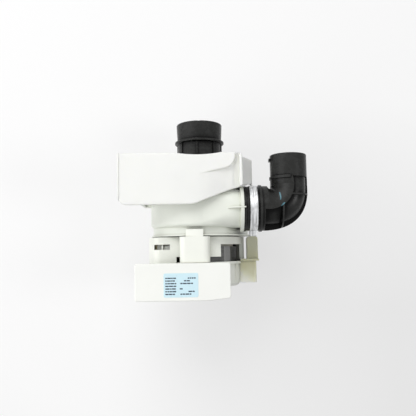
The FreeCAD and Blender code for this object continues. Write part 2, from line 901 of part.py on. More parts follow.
def elbow_bend(start_r, end_r):
    """Quarter bend through circles that turn about its inner corner and taper evenly."""
    corner = Vector(elbow_collar_end() + elbow_lead, outlet_y + elbow_bend_r, outlet_z)
    circles = []
    for i in range(elbow_sections + 1):
        share = i / elbow_sections
        reach = elbow_bend_r + elbow_bulge * math.sin(math.pi * share) ** 2
        radius = start_r + (end_r - start_r) * share
        circle = Part.Wire(Part.makeCircle(radius, corner - Y_AXIS * reach, X_AXIS))
        circle.rotate(corner, Z_AXIS, 90.0 * share)
        circles.append(circle)
    return Part.makeLoft(circles, True)


def elbow_run(start_r, end_r):
    """Solid along the elbow's axis from the collar's end to the step ring."""
    start_x = elbow_collar_end()
    bend_x = start_x + elbow_lead
    bend_y = outlet_y + elbow_bend_r
    lead = rod_x(start_r, start_x, bend_x, outlet_y, outlet_z)
    tail = rod_y(end_r, bend_y, bend_y + elbow_tail, bend_x + elbow_bend_r, outlet_z)
    return joined([lead, elbow_bend(start_r, end_r), tail])


def elbow_collar_start():
    return outlet_bead_x + outlet_bead_width / 2 + fit


def elbow_collar_end():
    return elbow_collar_start() + outlet_grip + 1.0


def elbow_mouth_place():
    """X of the mouth's axis and Y of its step ring and of its rim."""
    x = elbow_collar_end() + elbow_lead + elbow_bend_r
    step = outlet_y + elbow_bend_r + elbow_tail
    return x, step, step + elbow_mouth_length


def elbow_relief():
    """What stands proud of the pockets: the inner half, the spine and the cross ribs."""
    bend_x = elbow_collar_end() + elbow_lead
    bend_y = outlet_y + elbow_bend_r
    reach = elbow_start_r + BEYOND
    mouth_x, step_y = elbow_mouth_place()[:2]
    inner_r = elbow_bend_r + elbow_bulge + 0.2 * elbow_rib
    inner = rod_z(inner_r, outlet_z - reach, outlet_z + reach, bend_x, bend_y)
    inner_lead = block(elbow_collar_end(), bend_x, outlet_y - elbow_rib / 2, outlet_y + reach,
                       outlet_z - reach, outlet_z + reach)
    inner_tail = block(mouth_x - reach, mouth_x - elbow_rib / 2, bend_y, step_y,
                       outlet_z - reach, outlet_z + reach)
    spine = block(elbow_collar_end(), mouth_x + reach, outlet_y - reach, step_y,
                  outlet_z - elbow_rib / 2, outlet_z + elbow_rib / 2)
    rib_x = mouth_x - 0.38 * elbow_bend_r
    rib_y = outlet_y + 0.55 * elbow_bend_r
    low_rib = block(rib_x - elbow_rib / 2, rib_x + elbow_rib / 2, outlet_y - reach, outlet_y + reach,
                    outlet_z - reach, outlet_z + reach)
    side_rib = block(mouth_x - reach, mouth_x + reach, rib_y - elbow_rib / 2, rib_y + elbow_rib / 2,
                     outlet_z - reach, outlet_z + reach)
    ring = block(elbow_collar_end(), elbow_collar_end() + elbow_ring, outlet_y - reach, outlet_y + reach,
                 outlet_z - reach, outlet_z + reach)
    return joined([inner, inner_lead, inner_tail, spine, low_rib, side_rib, ring])


def outlet_elbow():
    start = elbow_collar_start()
    end = elbow_collar_end()
    mouth_x, step_y, rim_y = elbow_mouth_place()
    flange_r = elbow_collar_r + elbow_flange_height
    mouth = rod_y(elbow_mouth_r, step_y - BEYOND, rim_y, mouth_x, outlet_z)
    rims = [edge for edge in mouth.Edges if abs(edge.CenterOfMass.y - rim_y) < 1e-6]
    mouth = mouth.makeFillet(0.9, rims)
    step_ring = rod_y(elbow_end_r + elbow_rib / 2, step_y - elbow_ring, step_y, mouth_x, outlet_z)
    half = elbow_end_r + elbow_rib
    step_ring = step_ring.common(block(mouth_x - half, mouth_x - elbow_rib / 2, step_y - elbow_ring, step_y,
                                       outlet_z - half, outlet_z + half))
    lug_x = mouth_x - elbow_mouth_r
    lug_y = step_y + 0.78 * elbow_mouth_length
    outside = joined([
        elbow_run(elbow_start_r - elbow_pocket_start, elbow_end_r - elbow_pocket_end),
        elbow_run(elbow_start_r, elbow_end_r).common(elbow_relief()),
        rod_x(elbow_collar_r, start, end, outlet_y, outlet_z),
        rod_x(elbow_collar_r + elbow_lip_height, start, start + elbow_flange_width, outlet_y, outlet_z),
        rod_x(flange_r, end - elbow_flange_width, end, outlet_y, outlet_z),
        step_ring,
        block(lug_x - 1.3, lug_x + 1.0, lug_y - 1.4, lug_y + 1.4, outlet_z - 3.0, outlet_z + 3.0),
        mouth,
    ])
    bend_x = end + elbow_lead
    bend_y = outlet_y + elbow_bend_r
    inside = joined([
        rod_x(outlet_r, start - BEYOND, end - 1.0 + fit, outlet_y, outlet_z),
        rod_x(elbow_mouth_bore_r, end - 2.0, bend_x, outlet_y, outlet_z),
        elbow_bend(elbow_mouth_bore_r, elbow_mouth_bore_r),
        rod_y(elbow_mouth_bore_r, bend_y, rim_y + BEYOND, mouth_x, outlet_z),
    ])
    return outside.cut(inside)


# Drip shield

def plate_outline():
    """The plate seen from above, with its S-shaped front edge."""
    low = plate_edge_y - plate_depth
    low_right = plate_edge_y - plate_right_depth
    return [
        (-plate_left, plate_edge_y, 1.5),
        (plate_right, plate_edge_y - 0.6, 4.0),
        (plate_right, low_right, 1.0),
        (plate_right - 9.0, low_right - 2.4, 25.0),
        (plate_bend_x, low, 18.0),
        (-plate_left, low, plate_corner),
    ]


def scoop_region(grow):
    """Where the plate falls away, seen from above, made larger by grow."""
    low = plate_edge_y - plate_depth - 10.0
    pad_low = plate_edge_y - pad_depth + grow
    return [
        (pad_edge_x - grow, plate_edge_y + 10.0),
        (pad_edge_x - grow, pad_low, pad_corner + grow),
        (scoop_start_x, pad_low - 8.0),
        (scoop_start_x, low),
        (scoop_edge_x + grow, low),
        (scoop_edge_x + grow, plate_edge_y + 10.0),
    ]


def scoop_body(upper, lower):
    """Solid between two copies of the scoop's surface, taken down by upper and by lower."""
    width = plate_right + BEYOND - scoop_start_x
    rear = (plate_edge_y + BEYOND, scoop_top_drop)
    front = (plate_edge_y - plate_depth - BEYOND, scoop_low_drop)
    wires = []
    for y, drop in (rear, front):
        radius = (width ** 2 + drop ** 2) / (2.0 * drop)
        whole = math.asin(width / radius)
        spots = [Vector(scoop_start_x + radius * math.sin(turn), y, plate_top - radius * (1.0 - math.cos(turn)))
                 for turn in (0.0, whole / 2, whole)]
        high = [spot - Z_AXIS * upper for spot in spots]
        low = [spot - Z_AXIS * lower for spot in reversed(spots)]
        wires.append(Part.Wire([Part.Arc(*high).toShape(), Part.makeLine(high[2], low[0]),
                                Part.Arc(*low).toShape(), Part.makeLine(low[2], high[0])]))
    return Part.makeLoft(wires, True, True)


def shield_slab(depth):
    """Top surface of the shield, taken down by depth: flat, with the scoop that deepens to the front."""
    flat = prism_z(plate_outline(), plate_top - depth, plate_top)
    flat = flat.cut(prism_z(scoop_region(0.0), plate_top - depth - BEYOND, plate_top + BEYOND))
    curved = scoop_body(0.0, depth)
    region = prism_z(scoop_region(0.0), 0.0, plate_top + BEYOND)
    region = region.common(prism_z(plate_outline(), 0.0, plate_top))
    return joined([flat, curved.common(region)])


def drip_shield():
    low = plate_edge_y - plate_depth - BEYOND
    below = scoop_body(plate_thick, plate_top)
    whole = prism_z(plate_outline(), 0.0, plate_top)
    inner = Part.Face(outline(plate_outline(), lambda u, v: Vector(u, v, 0.0)))
    inner = inner.makeOffset2D(-plate_thick).extrude(Vector(0, 0, plate_top))
    rim = whole.cut(inner)
    ridge = prism_z(scoop_region(plate_thick), plate_top - 30.0, plate_top)
    ridge = ridge.cut(prism_z(scoop_region(0.0), 0.0, plate_top + BEYOND)).common(whole).cut(below)
    lip = block(scoop_edge_x, plate_right, low, plate_edge_y, plate_top - 30.0, plate_top)
    lip = lip.common(whole).cut(below)
    roll = block(-plate_left, -plate_left + 1.6, low, plate_edge_y, plate_top, plate_top + 0.5)
    roll = roll.common(prism_z(plate_outline(), plate_top, plate_top + 1.0))
    pieces = [shield_slab(plate_thick), shield_slab(plate_skirt).common(rim), ridge, lip, roll]
    pieces += [side_skirt(), post_socket()]
    shield = joined(pieces)
    dip_r = (sleeve_mouth_r ** 2 + plate_dip ** 2) / (2.0 * plate_dip)
    dip = rod_z(dip_r, 0.0, plate_top + BEYOND, 0.0, plate_edge_y - plate_dip + dip_r)
    shield = shield.cut(dip)
    far = elbow_collar_end()
    for radius, x_low in ((outlet_r, 0.0), (outlet_r + outlet_bead_height, outlet_bead_x - outlet_bead_width),
                          (elbow_collar_r + elbow_flange_height, elbow_collar_start())):
        shield = shield.cut(rod_x(radius + 1.0, x_low - 1.0, far, outlet_y, outlet_z))
    return shield


def side_skirt():
    """Apron that slopes down beside the outlet."""
    top = plate_top - 6.0
    thick = side_skirt_thick
    y_high = plate_edge_y - 4.0
    y_low = plate_edge_y - plate_right_depth + 1.0
    return prism_y([
        (plate_right - thick, plate_top - 1.0),
        (plate_right, plate_top - 1.0),
        (plate_right, top, 1.5),
        (side_skirt_x - 1.0, side_skirt_knee, 2.0),
        (side_skirt_x, side_skirt_low),
        (side_skirt_x - thick, side_skirt_low),
        (side_skirt_x - thick - 1.0, side_skirt_knee - 0.6, 2.0),
        (plate_right - thick, top - 1.4, 1.5),
    ], y_low, y_high)


def post_socket():
    """Tube under the plate that slips over the volute's post."""
    x, y = post_place()
    top = plate_top - 0.5 * plate_thick
    tube = rod_z(post_r + 1.6, plate_top - 12.0, top, x, y)
    return tube.cut(rod_z(post_r + fit, 0.0, plate_top - plate_thick, x, y))


# Motor front shield

def wire_chamber(inset, y_low, y_high):
    """Box on the left of the shield where the motor's leads run."""
    top = chamber_top - inset
    low = chamber_low + inset
    left = -chamber_left + inset
    return prism_y([
        (0.0, top),
        (left + 8.0, top, 7.0),
        (left, top - 22.0, 12.0),
        (left, low + 8.0, 3.0),
        (left + 12.0, low, 3.0),
        (0.0, low),
    ], y_low, y_high)


def cable_hump(inset, y_low, y_high):
    """Raised channel over the motor, rounded along its top edges."""
    half = hump_half_width - inset
    top = hump_top - inset
    corner = hump_round - inset
    return prism_y([(hump_x - half, 0.0), (hump_x - half, top, corner),
                    (hump_x + half, top, corner), (hump_x + half, 0.0)], y_low, y_high)


def wire_chamber_end_y():
    """The chamber reaches past the parting plane, up to the electronics housing."""
    return case_y - case_wall - fit + touch_gap


def front_shield_walls():
    sleeve = wire_chamber(0.0, wire_chamber_end_y(), split_y + BEYOND)
    pieces = [
        rod_y(front_outer_r, split_y, motor_y),
        wire_chamber(0.0, split_y, motor_y),
        sleeve.cut(rod_y(front_outer_r + fit, wire_chamber_end_y() - BEYOND, split_y)),
        cable_hump(0.0, split_y, motor_y),
    ]
    return joined(pieces)


def front_shield_hollow():
    low = split_y - BEYOND
    pieces = [
        rod_y(motor_bore_r, low, disc_y),
        wire_chamber(chamber_wall, wire_chamber_end_y() - BEYOND, disc_y),
        cable_hump(chamber_wall, low, disc_y),
    ]
    return joined(pieces)


def snap_tongue():
    """Tongue that hooks over the volute's flange."""
    under = flange_r + touch_gap
    half = tongue_width / 2
    tip = motor_y + tongue_reach
    arch = block(hump_x - half, hump_x + half, motor_y - 3.0, tip, 0.0, hump_top + 6.0)
    ring = tube_y(under + tongue_thick, under, motor_y - 3.0, tip)
    hook = tube_y(under + tongue_thick, rear_band_r + touch_gap + 0.6, band_y + flange_thick + fit, tip)
    return joined([ring, hook]).common(arch)


def lead_guide():
    """Angle under the slot that keeps the leads to the chamber's left wall."""
    top = chamber_top - chamber_wall
    right = slot_x + guide_right
    left = lead_x() + lead_r + touch_gap
    y_middle = motor_y - slot_y
    half = slot_height / 2 + guide_margin
    shelf = block(left, right, y_middle - half, y_middle + half, top - guide_drop - guide_thick, top - guide_drop)
    web = block(right - guide_thick, right, y_middle - half, y_middle + half,
                top - guide_drop - guide_thick, top + 0.5)
    return joined([shelf, web])


def motor_front_shield():
    shell = front_shield_walls().cut(front_shield_hollow())
    far = front_outer_r + 20.0
    window_top = motor_y - (front_depth - window_depth)
    cuts = [
        block(window_x, far, split_y - BEYOND, window_top, -8.0, far),
        block(hump_x + hump_half_width, window_x + BEYOND, split_y - BEYOND, split_y + notch_depth, 20.0, far),
        block(slot_x - slot_width / 2, slot_x + slot_width / 2, motor_y - slot_y - slot_height / 2,
              motor_y - slot_y + slot_height / 2, chamber_top - 12.0, far),
        block(hump_x - hump_half_width - latch_width, hump_x - hump_half_width, split_y - BEYOND,
              split_y + latch_depth, chamber_top - 12.0, far),
    ]
    for cut in cuts:
        shell = shell.cut(cut)
    bearing_seat = tube_y(bearing_r + 2.5, bearing_r, front_bearing_y, disc_y)
    shell = shell.cut(rod_y(bearing_r - 2.5, disc_y - BEYOND, motor_y + BEYOND))
    columns = []
    for angle in screw_angles:
        x, z = polar(screw_circle_r, angle)
        column = rod_y(screw_boss_r, split_y, motor_y, x, z)
        web = block(screw_circle_r - screw_boss_r - 2.0, screw_circle_r, split_y, motor_y, -1.2, 1.2)
        columns += [column, turned_about_axis(web, angle - 90.0)]
    catch = block(front_outer_r - 2.0, front_outer_r + catch_height, hood_flange_y() + touch_gap, motor_y,
                  -catch_half_width, catch_half_width)
    body = joined([shell, bearing_seat, snap_tongue(), catch, lead_guide()] + columns)
    body = body.cut(rod_y(motor_bore_r, split_y - BEYOND, disc_y - bearing_width - BEYOND))
    for angle in screw_angles:
        x, z = polar(screw_circle_r, angle)
        body = body.cut(rod_y(screw_r, split_y - BEYOND, motor_y - screw_cover + BEYOND, x, z))
    return body


# Motor rear housing

def motor_rear_housing():
    low = rear_y
    can = rod_y(rear_outer_r, low, split_y)
    can = can.makeFillet(rear_round, [edge for edge in can.Edges if abs(edge.CenterOfMass.y - low) < 1e-6])
    lip = rod_y(front_outer_r, split_y - rear_lip, split_y)
    boss = rod_y(bearing_r + rear_end_wall, low - end_boss_height, low + BEYOND)
    end_rib = block(-rib_width / 2, rib_width / 2, low - end_rib_height, low + BEYOND,
                    bearing_r, rear_outer_r - rear_round)
    end_ribs = [turned_about_axis(end_rib, i * 360.0 / end_rib_count) for i in range(end_rib_count)]
    rib = block(-rib_width / 2, rib_width / 2, low + rear_round, split_y - rear_lip,
                rear_outer_r - 0.8, rear_outer_r + rib_height)
    rib_count = int(360.0 / rib_step)
    ribs = [turned_about_axis(rib, i * rib_step) for i in range(rib_count)]
    ears = []
    for angle in screw_angles:
        x, z = polar(screw_circle_r, angle)
        ear = rod_y(screw_boss_r, split_y - rear_ear_thick, split_y, x, z)
        web = block(screw_circle_r - screw_boss_r - 2.5, screw_circle_r, split_y - rear_ear_thick, split_y,
                    -1.5, 1.5)
        ears += [ear, turned_about_axis(web, angle - 90.0)]
    legs = [motor_leg(-1), motor_leg(1)]
    solid = joined([can, lip, boss] + end_ribs + ribs + ears + legs)
    solid = solid.cut(rod_y(motor_bore_r, low + rear_end_wall, split_y + BEYOND))
    seat = tube_y(bearing_r + 2.5, bearing_r, low + 0.5, rear_bearing_y + bearing_width)
    solid = joined([solid, seat])
    solid = solid.cut(rod_y(bearing_r, low + rear_end_wall, rear_bearing_y + bearing_width + BEYOND))
    for angle in screw_angles:
        x, z = polar(screw_circle_r, angle)
        solid = solid.cut(rod_y(screw_r + 0.3, split_y - rear_ear_thick - BEYOND, split_y + BEYOND, x, z))
    return solid


def motor_leg_y():
    return rear_y + leg_half_width + leg_setback


def motor_leg(side):
    x = side * motor_foot_x
    y = motor_leg_y()
    leg = block(x - leg_half_width, x + leg_half_width, y - leg_half_width, y + leg_half_width,
                foot_level + foot_height, 0.0)
    return leg.cut(rod_z(foot_peg_r + fit, foot_level, foot_level + foot_height + foot_peg_length + 1.0, x, y))


def rubber_feet():
    """Four feet with a peg each, pressed into the legs."""
    pump_y = (front_y + chamber_y) / 2
    places = [(-pump_foot_x, pump_y), (pump_foot_x, pump_y),
              (-motor_foot_x, motor_leg_y()), (motor_foot_x, motor_leg_y())]
    feet = []
    for x, y in places:
        pad = rod_z(foot_r, foot_level, foot_level + foot_height, x, y)
        pad = pad.makeChamfer(0.8, pad.Edges[0:1])
        peg = rod_z(foot_peg_r, foot_level + foot_height, foot_level + foot_height + foot_peg_length, x, y)
        feet.append(joined([pad, peg]))
    return Part.makeCompound(feet)


def motor_screws():
    screws = []
    top = motor_y - screw_cover
    head_y = split_y - rear_ear_thick
    for angle in screw_angles:
        x, z = polar(screw_circle_r, angle)
        head = rod_y(screw_head_r, head_y - screw_head_height, head_y, x, z)
        shank = rod_y(screw_r, head_y, top, x, z)
        socket = rod_y(0.5 * screw_head_r, head_y - screw_head_height - BEYOND, head_y - 1.0, x, z)
        screws.append(joined([head, shank]).cut(socket))
    return Part.makeCompound(screws)


# Stator and rotor

def stator_core():
    """Six-slot stack with flats between its corners."""
    stack = tube_y(stator_r, yoke_inner_r, stack_end_y, stack_y)
    flat = stator_r * math.cos(math.radians(flat_half_angle))
    tooth = block(-tooth_width / 2, tooth_width / 2, stack_end_y, stack_y, stator_bore_r, yoke_inner_r + 0.5)
    shoe = tube_y(stator_bore_r + shoe_thick, stator_bore_r, stack_end_y, stack_y)
    half = (stator_bore_r + shoe_thick) * math.sin(math.radians(shoe_half_angle))
    shoe = shoe.common(block(-half, half, stack_end_y, stack_y, 0.0, stator_r))
    bar = block(-stator_r, stator_r, stack_end_y - BEYOND, stack_y + BEYOND, flat, stator_r + BEYOND)
    parts = [stack]
    for i in range(slot_count):
        angle = stator_turn + i * 360.0 / slot_count
        parts += [turned_about_axis(tooth, angle), turned_about_axis(shoe, angle)]
    core = joined(parts).cut(rod_y(stator_bore_r, stack_end_y - BEYOND, stack_y + BEYOND))
    for i in range(slot_count):
        core = core.cut(turned_about_axis(bar, stator_turn + i * 360.0 / slot_count))
    return core


def stator_insulators():
    """Moulded end pieces that the coils are wound over, one on each end of the stack."""
    ends = []
    for base, way in ((stack_y, 1.0), (stack_end_y, -1.0)):
        wall_low, wall_high = sorted((base, base + way * (coil_end + 1.2)))
        arm_low, arm_high = sorted((base, base + way * bobbin_wall))
        wall = tube_y(yoke_inner_r + 1.6, yoke_inner_r + 0.2, wall_low, wall_high)
        arm = block(-tooth_width / 2, tooth_width / 2, arm_low, arm_high, stator_bore_r + 0.6, yoke_inner_r + 1.0)
        guard = block(-tooth_width / 2 - 2.0, tooth_width / 2 + 2.0, wall_low, wall_high,
                      stator_bore_r + 0.6, stator_bore_r + 1.8)
        parts = [wall]
        for i in range(slot_count):
            angle = stator_turn + i * 360.0 / slot_count
            parts += [turned_about_axis(arm, angle), turned_about_axis(guard, angle)]
        ends.append(joined(parts))
    return Part.makeCompound(ends)


def stator_coils():
    inner_r = stator_bore_r + shoe_thick + 0.3
    outer_r = yoke_inner_r - 0.4
    half_in = tooth_width / 2 + 0.15
    half_out = half_in + coil_build
    y_in = bobbin_wall + 0.05
    y_out = bobbin_wall + coil_end
    loop = prism_z([
        (-half_out, stack_end_y - y_out, 3.5), (half_out, stack_end_y - y_out, 3.5),
        (half_out, stack_y + y_out, 3.5), (-half_out, stack_y + y_out, 3.5),
    ], inner_r, outer_r)
    hole = block(-half_in, half_in, stack_end_y - y_in, stack_y + y_in, inner_r - BEYOND, outer_r + BEYOND)
    loop = loop.cut(hole)
    loop = loop.common(rod_y(yoke_inner_r - 0.15, stack_end_y - 20.0, stack_y + 20.0))
    coils = [turned_about_axis(loop, stator_turn + i * 360.0 / slot_count) for i in range(slot_count)]
    return Part.makeCompound(coils)


def rotor_middle():
    return (stack_y + stack_end_y) / 2


def rotor_core():
    low = rotor_middle() - rotor_length / 2
    return tube_y(rotor_core_r, shaft_r, low, low + rotor_length)


def rotor_magnets():
    low = rotor_middle() - rotor_length / 2
    ring = tube_y(rotor_r, rotor_core_r, low, low + rotor_length)
    for i in range(magnet_count // 2):
        slit = block(-magnet_gap / 2, magnet_gap / 2, low - BEYOND, low + rotor_length + BEYOND,
                     -rotor_r - BEYOND, rotor_r + BEYOND)
        ring = ring.cut(turned_about_axis(slit, i * 360.0 / magnet_count))
    return Part.makeCompound(ring.Solids)


def motor_shaft():
    top = disc_rear_y() + hub_length + 0.4 * cap_height
    low = rear_bearing_y + 0.8
    shaft = rod_y(shaft_r, low, disc_rear_y() + hub_length)
    thread = rod_y(shaft_r - 0.8, disc_rear_y() + hub_length, top)
    return joined([shaft, thread])


# Ball bearings

def bearing_outer(low):
    ring = tube_y(bearing_r, bearing_r - ring_wall, low, low + bearing_width)
    return ring.cut(race(low))


def bearing_inner(low):
    ring = tube_y(shaft_r + ring_wall + 0.1, shaft_r, low, low + bearing_width)
    return ring.cut(race(low))


def race(low):
    return Part.makeTorus(ball_pitch_r, ball_r + bearing_play, Vector(0, low + bearing_width / 2, 0), Y_AXIS)


def bearing_balls(low, size):
    balls = []
    for i in range(ball_count):
        x, z = polar(ball_pitch_r, i * 360.0 / ball_count)
        balls.append(Part.makeSphere(size, Vector(x, low + bearing_width / 2, z)))
    return balls


def bearing_cage(low):
    middle = low + bearing_width / 2
    cage = tube_y(ball_pitch_r + cage_wall / 2, ball_pitch_r - cage_wall / 2, middle - 0.4, middle + ball_r + 0.6)
    pocket = rod_z(ball_r + 0.08, ball_pitch_r - cage_wall, ball_pitch_r + cage_wall, 0.0, middle)
    for i in range(ball_count):
        cage = cage.cut(turned_about_axis(pocket, i * 360.0 / ball_count))
    return cage


def spring_washer():
    """Washer that takes up the end play behind the rear bearing."""
    low = rear_y + rear_end_wall
    return tube_y(bearing_r - 0.4, bearing_r - 2.4, low, low + washer_thick)


# Electronics

def case_outline(inset):
    front_right = case_end_y + case_bulge
    return [
        (-case_left + inset, case_y - inset, lid_round),
        (case_right - inset, case_y - inset, lid_round),
        (case_right - inset, front_right + inset, lid_round),
        (0.3 * case_right, case_end_y + inset, case_bend_r),
        (-case_left + inset, case_end_y + inset, lid_round),
    ]


def electronics_lid():
    lid = prism_z(case_outline(0.0), lid_top - lid_skirt, lid_top)
    top_edges = [edge for edge in lid.Edges if abs(edge.CenterOfMass.z - lid_top) < 1e-6]
    lid = lid.makeFillet(0.8, top_edges)
    hollow = prism_z(case_outline(case_wall), lid_top - lid_skirt - BEYOND, lid_top - lid_thick)
    return lid.cut(hollow)


def case_solid(inset, top):
    """Flat box over the motor with a deep pocket on its left."""
    floor = case_floor + inset
    upper = prism_z(case_outline(case_wall + fit + inset), floor, top)
    left = -case_left + case_wall + fit + inset
    pocket_right = left + pocket_width - 2 * inset
    y_high = case_y - case_wall - fit - inset
    y_low = case_end_y + case_wall + fit + inset
    corners = [(left, y_low), (pocket_right, y_low), (pocket_right, y_high), (left, y_high)]
    pocket = prism_z([corner + (pocket_round,) for corner in corners], pocket_low + inset, floor + BEYOND)
    return joined([upper, pocket])


def lead_x():
    """The leads run one above the other, close to the right wall of the case's deep pocket."""
    return -case_left + fit + pocket_width - lead_r - touch_gap


def electronics_housing():
    wall_top = lid_top - lid_thick - fit
    case = case_solid(0.0, wall_top).cut(case_solid(case_wall, wall_top + BEYOND))
    case = case.cut(rod_y(rear_outer_r + rib_height + fit, case_end_y - BEYOND, split_y - rear_lip))
    case = case.cut(rod_y(front_outer_r + fit, split_y - rear_lip, case_y + BEYOND))
    posts = []
    post_low = case_floor + 0.5 * case_wall
    for x, y in board_screw_places():
        posts.append(blind_tube_z(board_post_r, board_screw_r + 0.05, post_low, board_z(), x, y))
    reach = lead_r + lead_hole_margin
    hole_low = case_y - 2 * case_wall - fit - BEYOND
    lead_hole = block(lead_x() - reach, lead_x() + lead_r + touch_gap, hole_low, case_y + BEYOND,
                      lead_z(2) - reach, lead_z(0) + reach)
    return joined([case] + posts).cut(lead_hole)


def lead_z(place):
    """Height of a lead in its chamber; place 0 is the topmost."""
    return chamber_top - lead_drop - place * lead_step


def board_z():
    return case_floor + board_height


def board_screw_places():
    left = -case_left + case_wall + fit + pocket_width + board_screw_inset
    right = case_right - board_screw_inset
    y_high = case_y - board_screw_inset
    y_low = case_end_y + board_screw_inset
    return [(left, y_high), (right, y_high), (left, y_low), (right, y_low + case_bulge)]


def circuit_board():
    inset = 2 * case_wall + 2 * fit + 0.4
    board = prism_z(case_outline(inset), board_z(), board_z() + board_thick)
    for x, y in board_screw_places():
        board = board.cut(rod_z(board_screw_r + 0.2, board_z() - BEYOND, board_z() + board_thick + BEYOND, x, y))
    return board


def board_screws():
    screws = []
    top = board_z() + board_thick
    for x, y in board_screw_places():
        shank = rod_z(board_screw_r, case_floor + 0.5 * case_wall + 1.0, top, x, y)
        head = rod_z(2 * board_screw_r, top, top + 1.4, x, y)
        screws.append(joined([shank, head]))
    return Part.makeCompound(screws)


def capacitors():
    """Two electrolytic cans that hang from the board into the deep pocket."""
    left = -case_left + case_wall + fit
    x = left + pocket_width / 2
    step = 2 * capacitor_r + 0.6
    cans = []
    for i in range(2):
        y = case_y - 6.8 - capacitor_r - i * step
        can = rod_z(capacitor_r, board_z() - capacitor_length, board_z(), x, y)
        ends = [edge for edge in can.Edges if abs(edge.CenterOfMass.z - board_z() + capacitor_length) < 1e-6]
        cans.append(can.makeFillet(0.6, ends))
    return Part.makeCompound(cans)


def board_top():
    return board_z() + board_thick


def power_module():
    """Flat package with a row of pins along each long side."""
    low = board_top()
    y = case_end_y + module_rise
    half_x = module_length / 2
    half_y = module_width / 2
    body = block(module_x - half_x, module_x + half_x, y - half_y, y + half_y,
                 low + touch_gap, low + touch_gap + module_thick)
    pitch = module_length / module_pin_count
    pins = []
    for i in range(module_pin_count):
        x = module_x - half_x + (i + 0.5) * pitch
        for edge in (y - half_y, y + half_y):
            pins.append(block(x - module_pin / 2, x + module_pin / 2, edge - module_pin, edge + module_pin,
                              low, low + 0.6 * module_thick))
    return joined([body] + pins)


def heat_sink():
    """Finned plate clamped on the power module."""
    low = board_top() + touch_gap + module_thick
    half_x = module_length / 2 + sink_rim
    half_y = module_width / 2 + sink_rim
    y = case_end_y + module_rise
    plate = block(module_x - half_x, module_x + half_x, y - half_y, y + half_y, low, low + sink_plate)
    pitch = (2 * half_x - sink_fin) / (sink_fin_count - 1)
    fins = []
    for i in range(sink_fin_count):
        x = module_x - half_x + i * pitch
        fins.append(block(x, x + sink_fin, y - half_y, y + half_y, low, low + sink_height))
    return joined([plate] + fins)


def line_choke():
    centre = Vector(choke_x, (case_y + case_end_y) / 2, board_top() + choke_core_r)
    return Part.makeTorus(choke_r, choke_core_r, centre, Z_AXIS)


def motor_leads():
    """Three leads from the stator through the wire chamber to the board."""
    leads = []
    x = lead_x()
    for i in range(3):
        y_front = disc_y - touch_gap - lead_r - i * lead_step
        y_end = case_y - 2 * case_wall - fit - lead_r - 2 * touch_gap - i * lead_step
        z = lead_z(i)
        points = [Vector(-yoke_inner_r - 1.6 - lead_r, y_front, 0.0), Vector(x, y_front, z),
                  Vector(x, y_end, z), Vector(x, y_end, board_z())]
        path = rounded_path(points, [0.0, 3.0, 3.0, 0.0], False)
        section = Part.Wire(Part.makeCircle(lead_r, points[0], points[1] - points[0]))
        leads.append(path.makePipeShell([section], True, True))
    return Part.makeCompound(leads)


def rating_label():
    y_high = case_y - label_drop
    y_low = y_high - label_height
    x_low = label_x - label_width / 2
    x_high = label_x + label_width / 2
    return prism_z([(x_low, y_low, label_round), (x_high, y_low, label_round),
                    (x_high, y_high, label_round), (x_low, y_high, label_round)],
                   lid_top, lid_top + label_thick)


# Connector

def hood_box(inset, x_low, x_high, y_low, y_high, half):
    return block(x_low + inset, x_high - inset, y_low, y_high, -half + inset, half - inset)


def hood_flange_y():
    """Front face of the connector hood's flange."""
    return split_y + hood_rise


def edges_along(solid, axis):
    return [edge for edge in solid.Edges if abs(edge.tangentAt(0).dot(axis)) > 0.9]


def connector_hood():
    """Socket for the plug behind a flange, and a channel that is open below in front of it."""
    flange_y = hood_flange_y()
    tip_y = flange_y + chimney_length
    socket_top = flange_y - hood_flange
    socket_low = socket_top - hood_depth
    socket = hood_box(0.0, hood_left - hood_root, hood_right, socket_low, socket_top, hood_half_height)
    socket = socket.makeFillet(hood_round, edges_along(socket, Y_AXIS))
    flange = hood_box(-hood_flange_rim, hood_left + hood_flange_left, hood_right, socket_top, flange_y,
                      hood_half_height)
    chimney = hood_box(0.0, chimney_left, chimney_right, flange_y, tip_y, chimney_half_height)
    tip_edges = [edge for edge in edges_along(chimney, Z_AXIS) if abs(edge.CenterOfMass.y - tip_y) < 1e-6]
    chimney = chimney.makeFillet(chimney_round, tip_edges)
    hood = joined([socket, flange, chimney])
    hollow = hood_box(hood_wall, hood_left, hood_right, socket_low - BEYOND, socket_top - socket_floor,
                      hood_half_height)
    channel = block(chimney_left + hood_wall, chimney_right - hood_wall, flange_y + BEYOND, tip_y - hood_wall,
                    -chimney_half_height - BEYOND, chimney_half_height - hood_wall)
    hood = hood.cut(hollow).cut(channel)
    hood = hood.cut(rod_y(rear_outer_r + rib_height + fit, socket_low - BEYOND, split_y - rear_lip))
    return hood.cut(rod_y(front_outer_r + fit, split_y - rear_lip, flange_y + BEYOND))


def connector_pins():
    wall_y = hood_flange_y() - hood_flange - socket_floor
    step = (hood_right - hood_left - 2 * hood_wall) / (pin_count + 1)
    half = pin_side / 2
    pins = []
    for i in range(pin_count):
        x = hood_left + hood_wall + step * (i + 1)
        pins.append(block(x - half, x + half, wall_y - pin_length, wall_y, -half, half))
    return Part.makeCompound(pins)


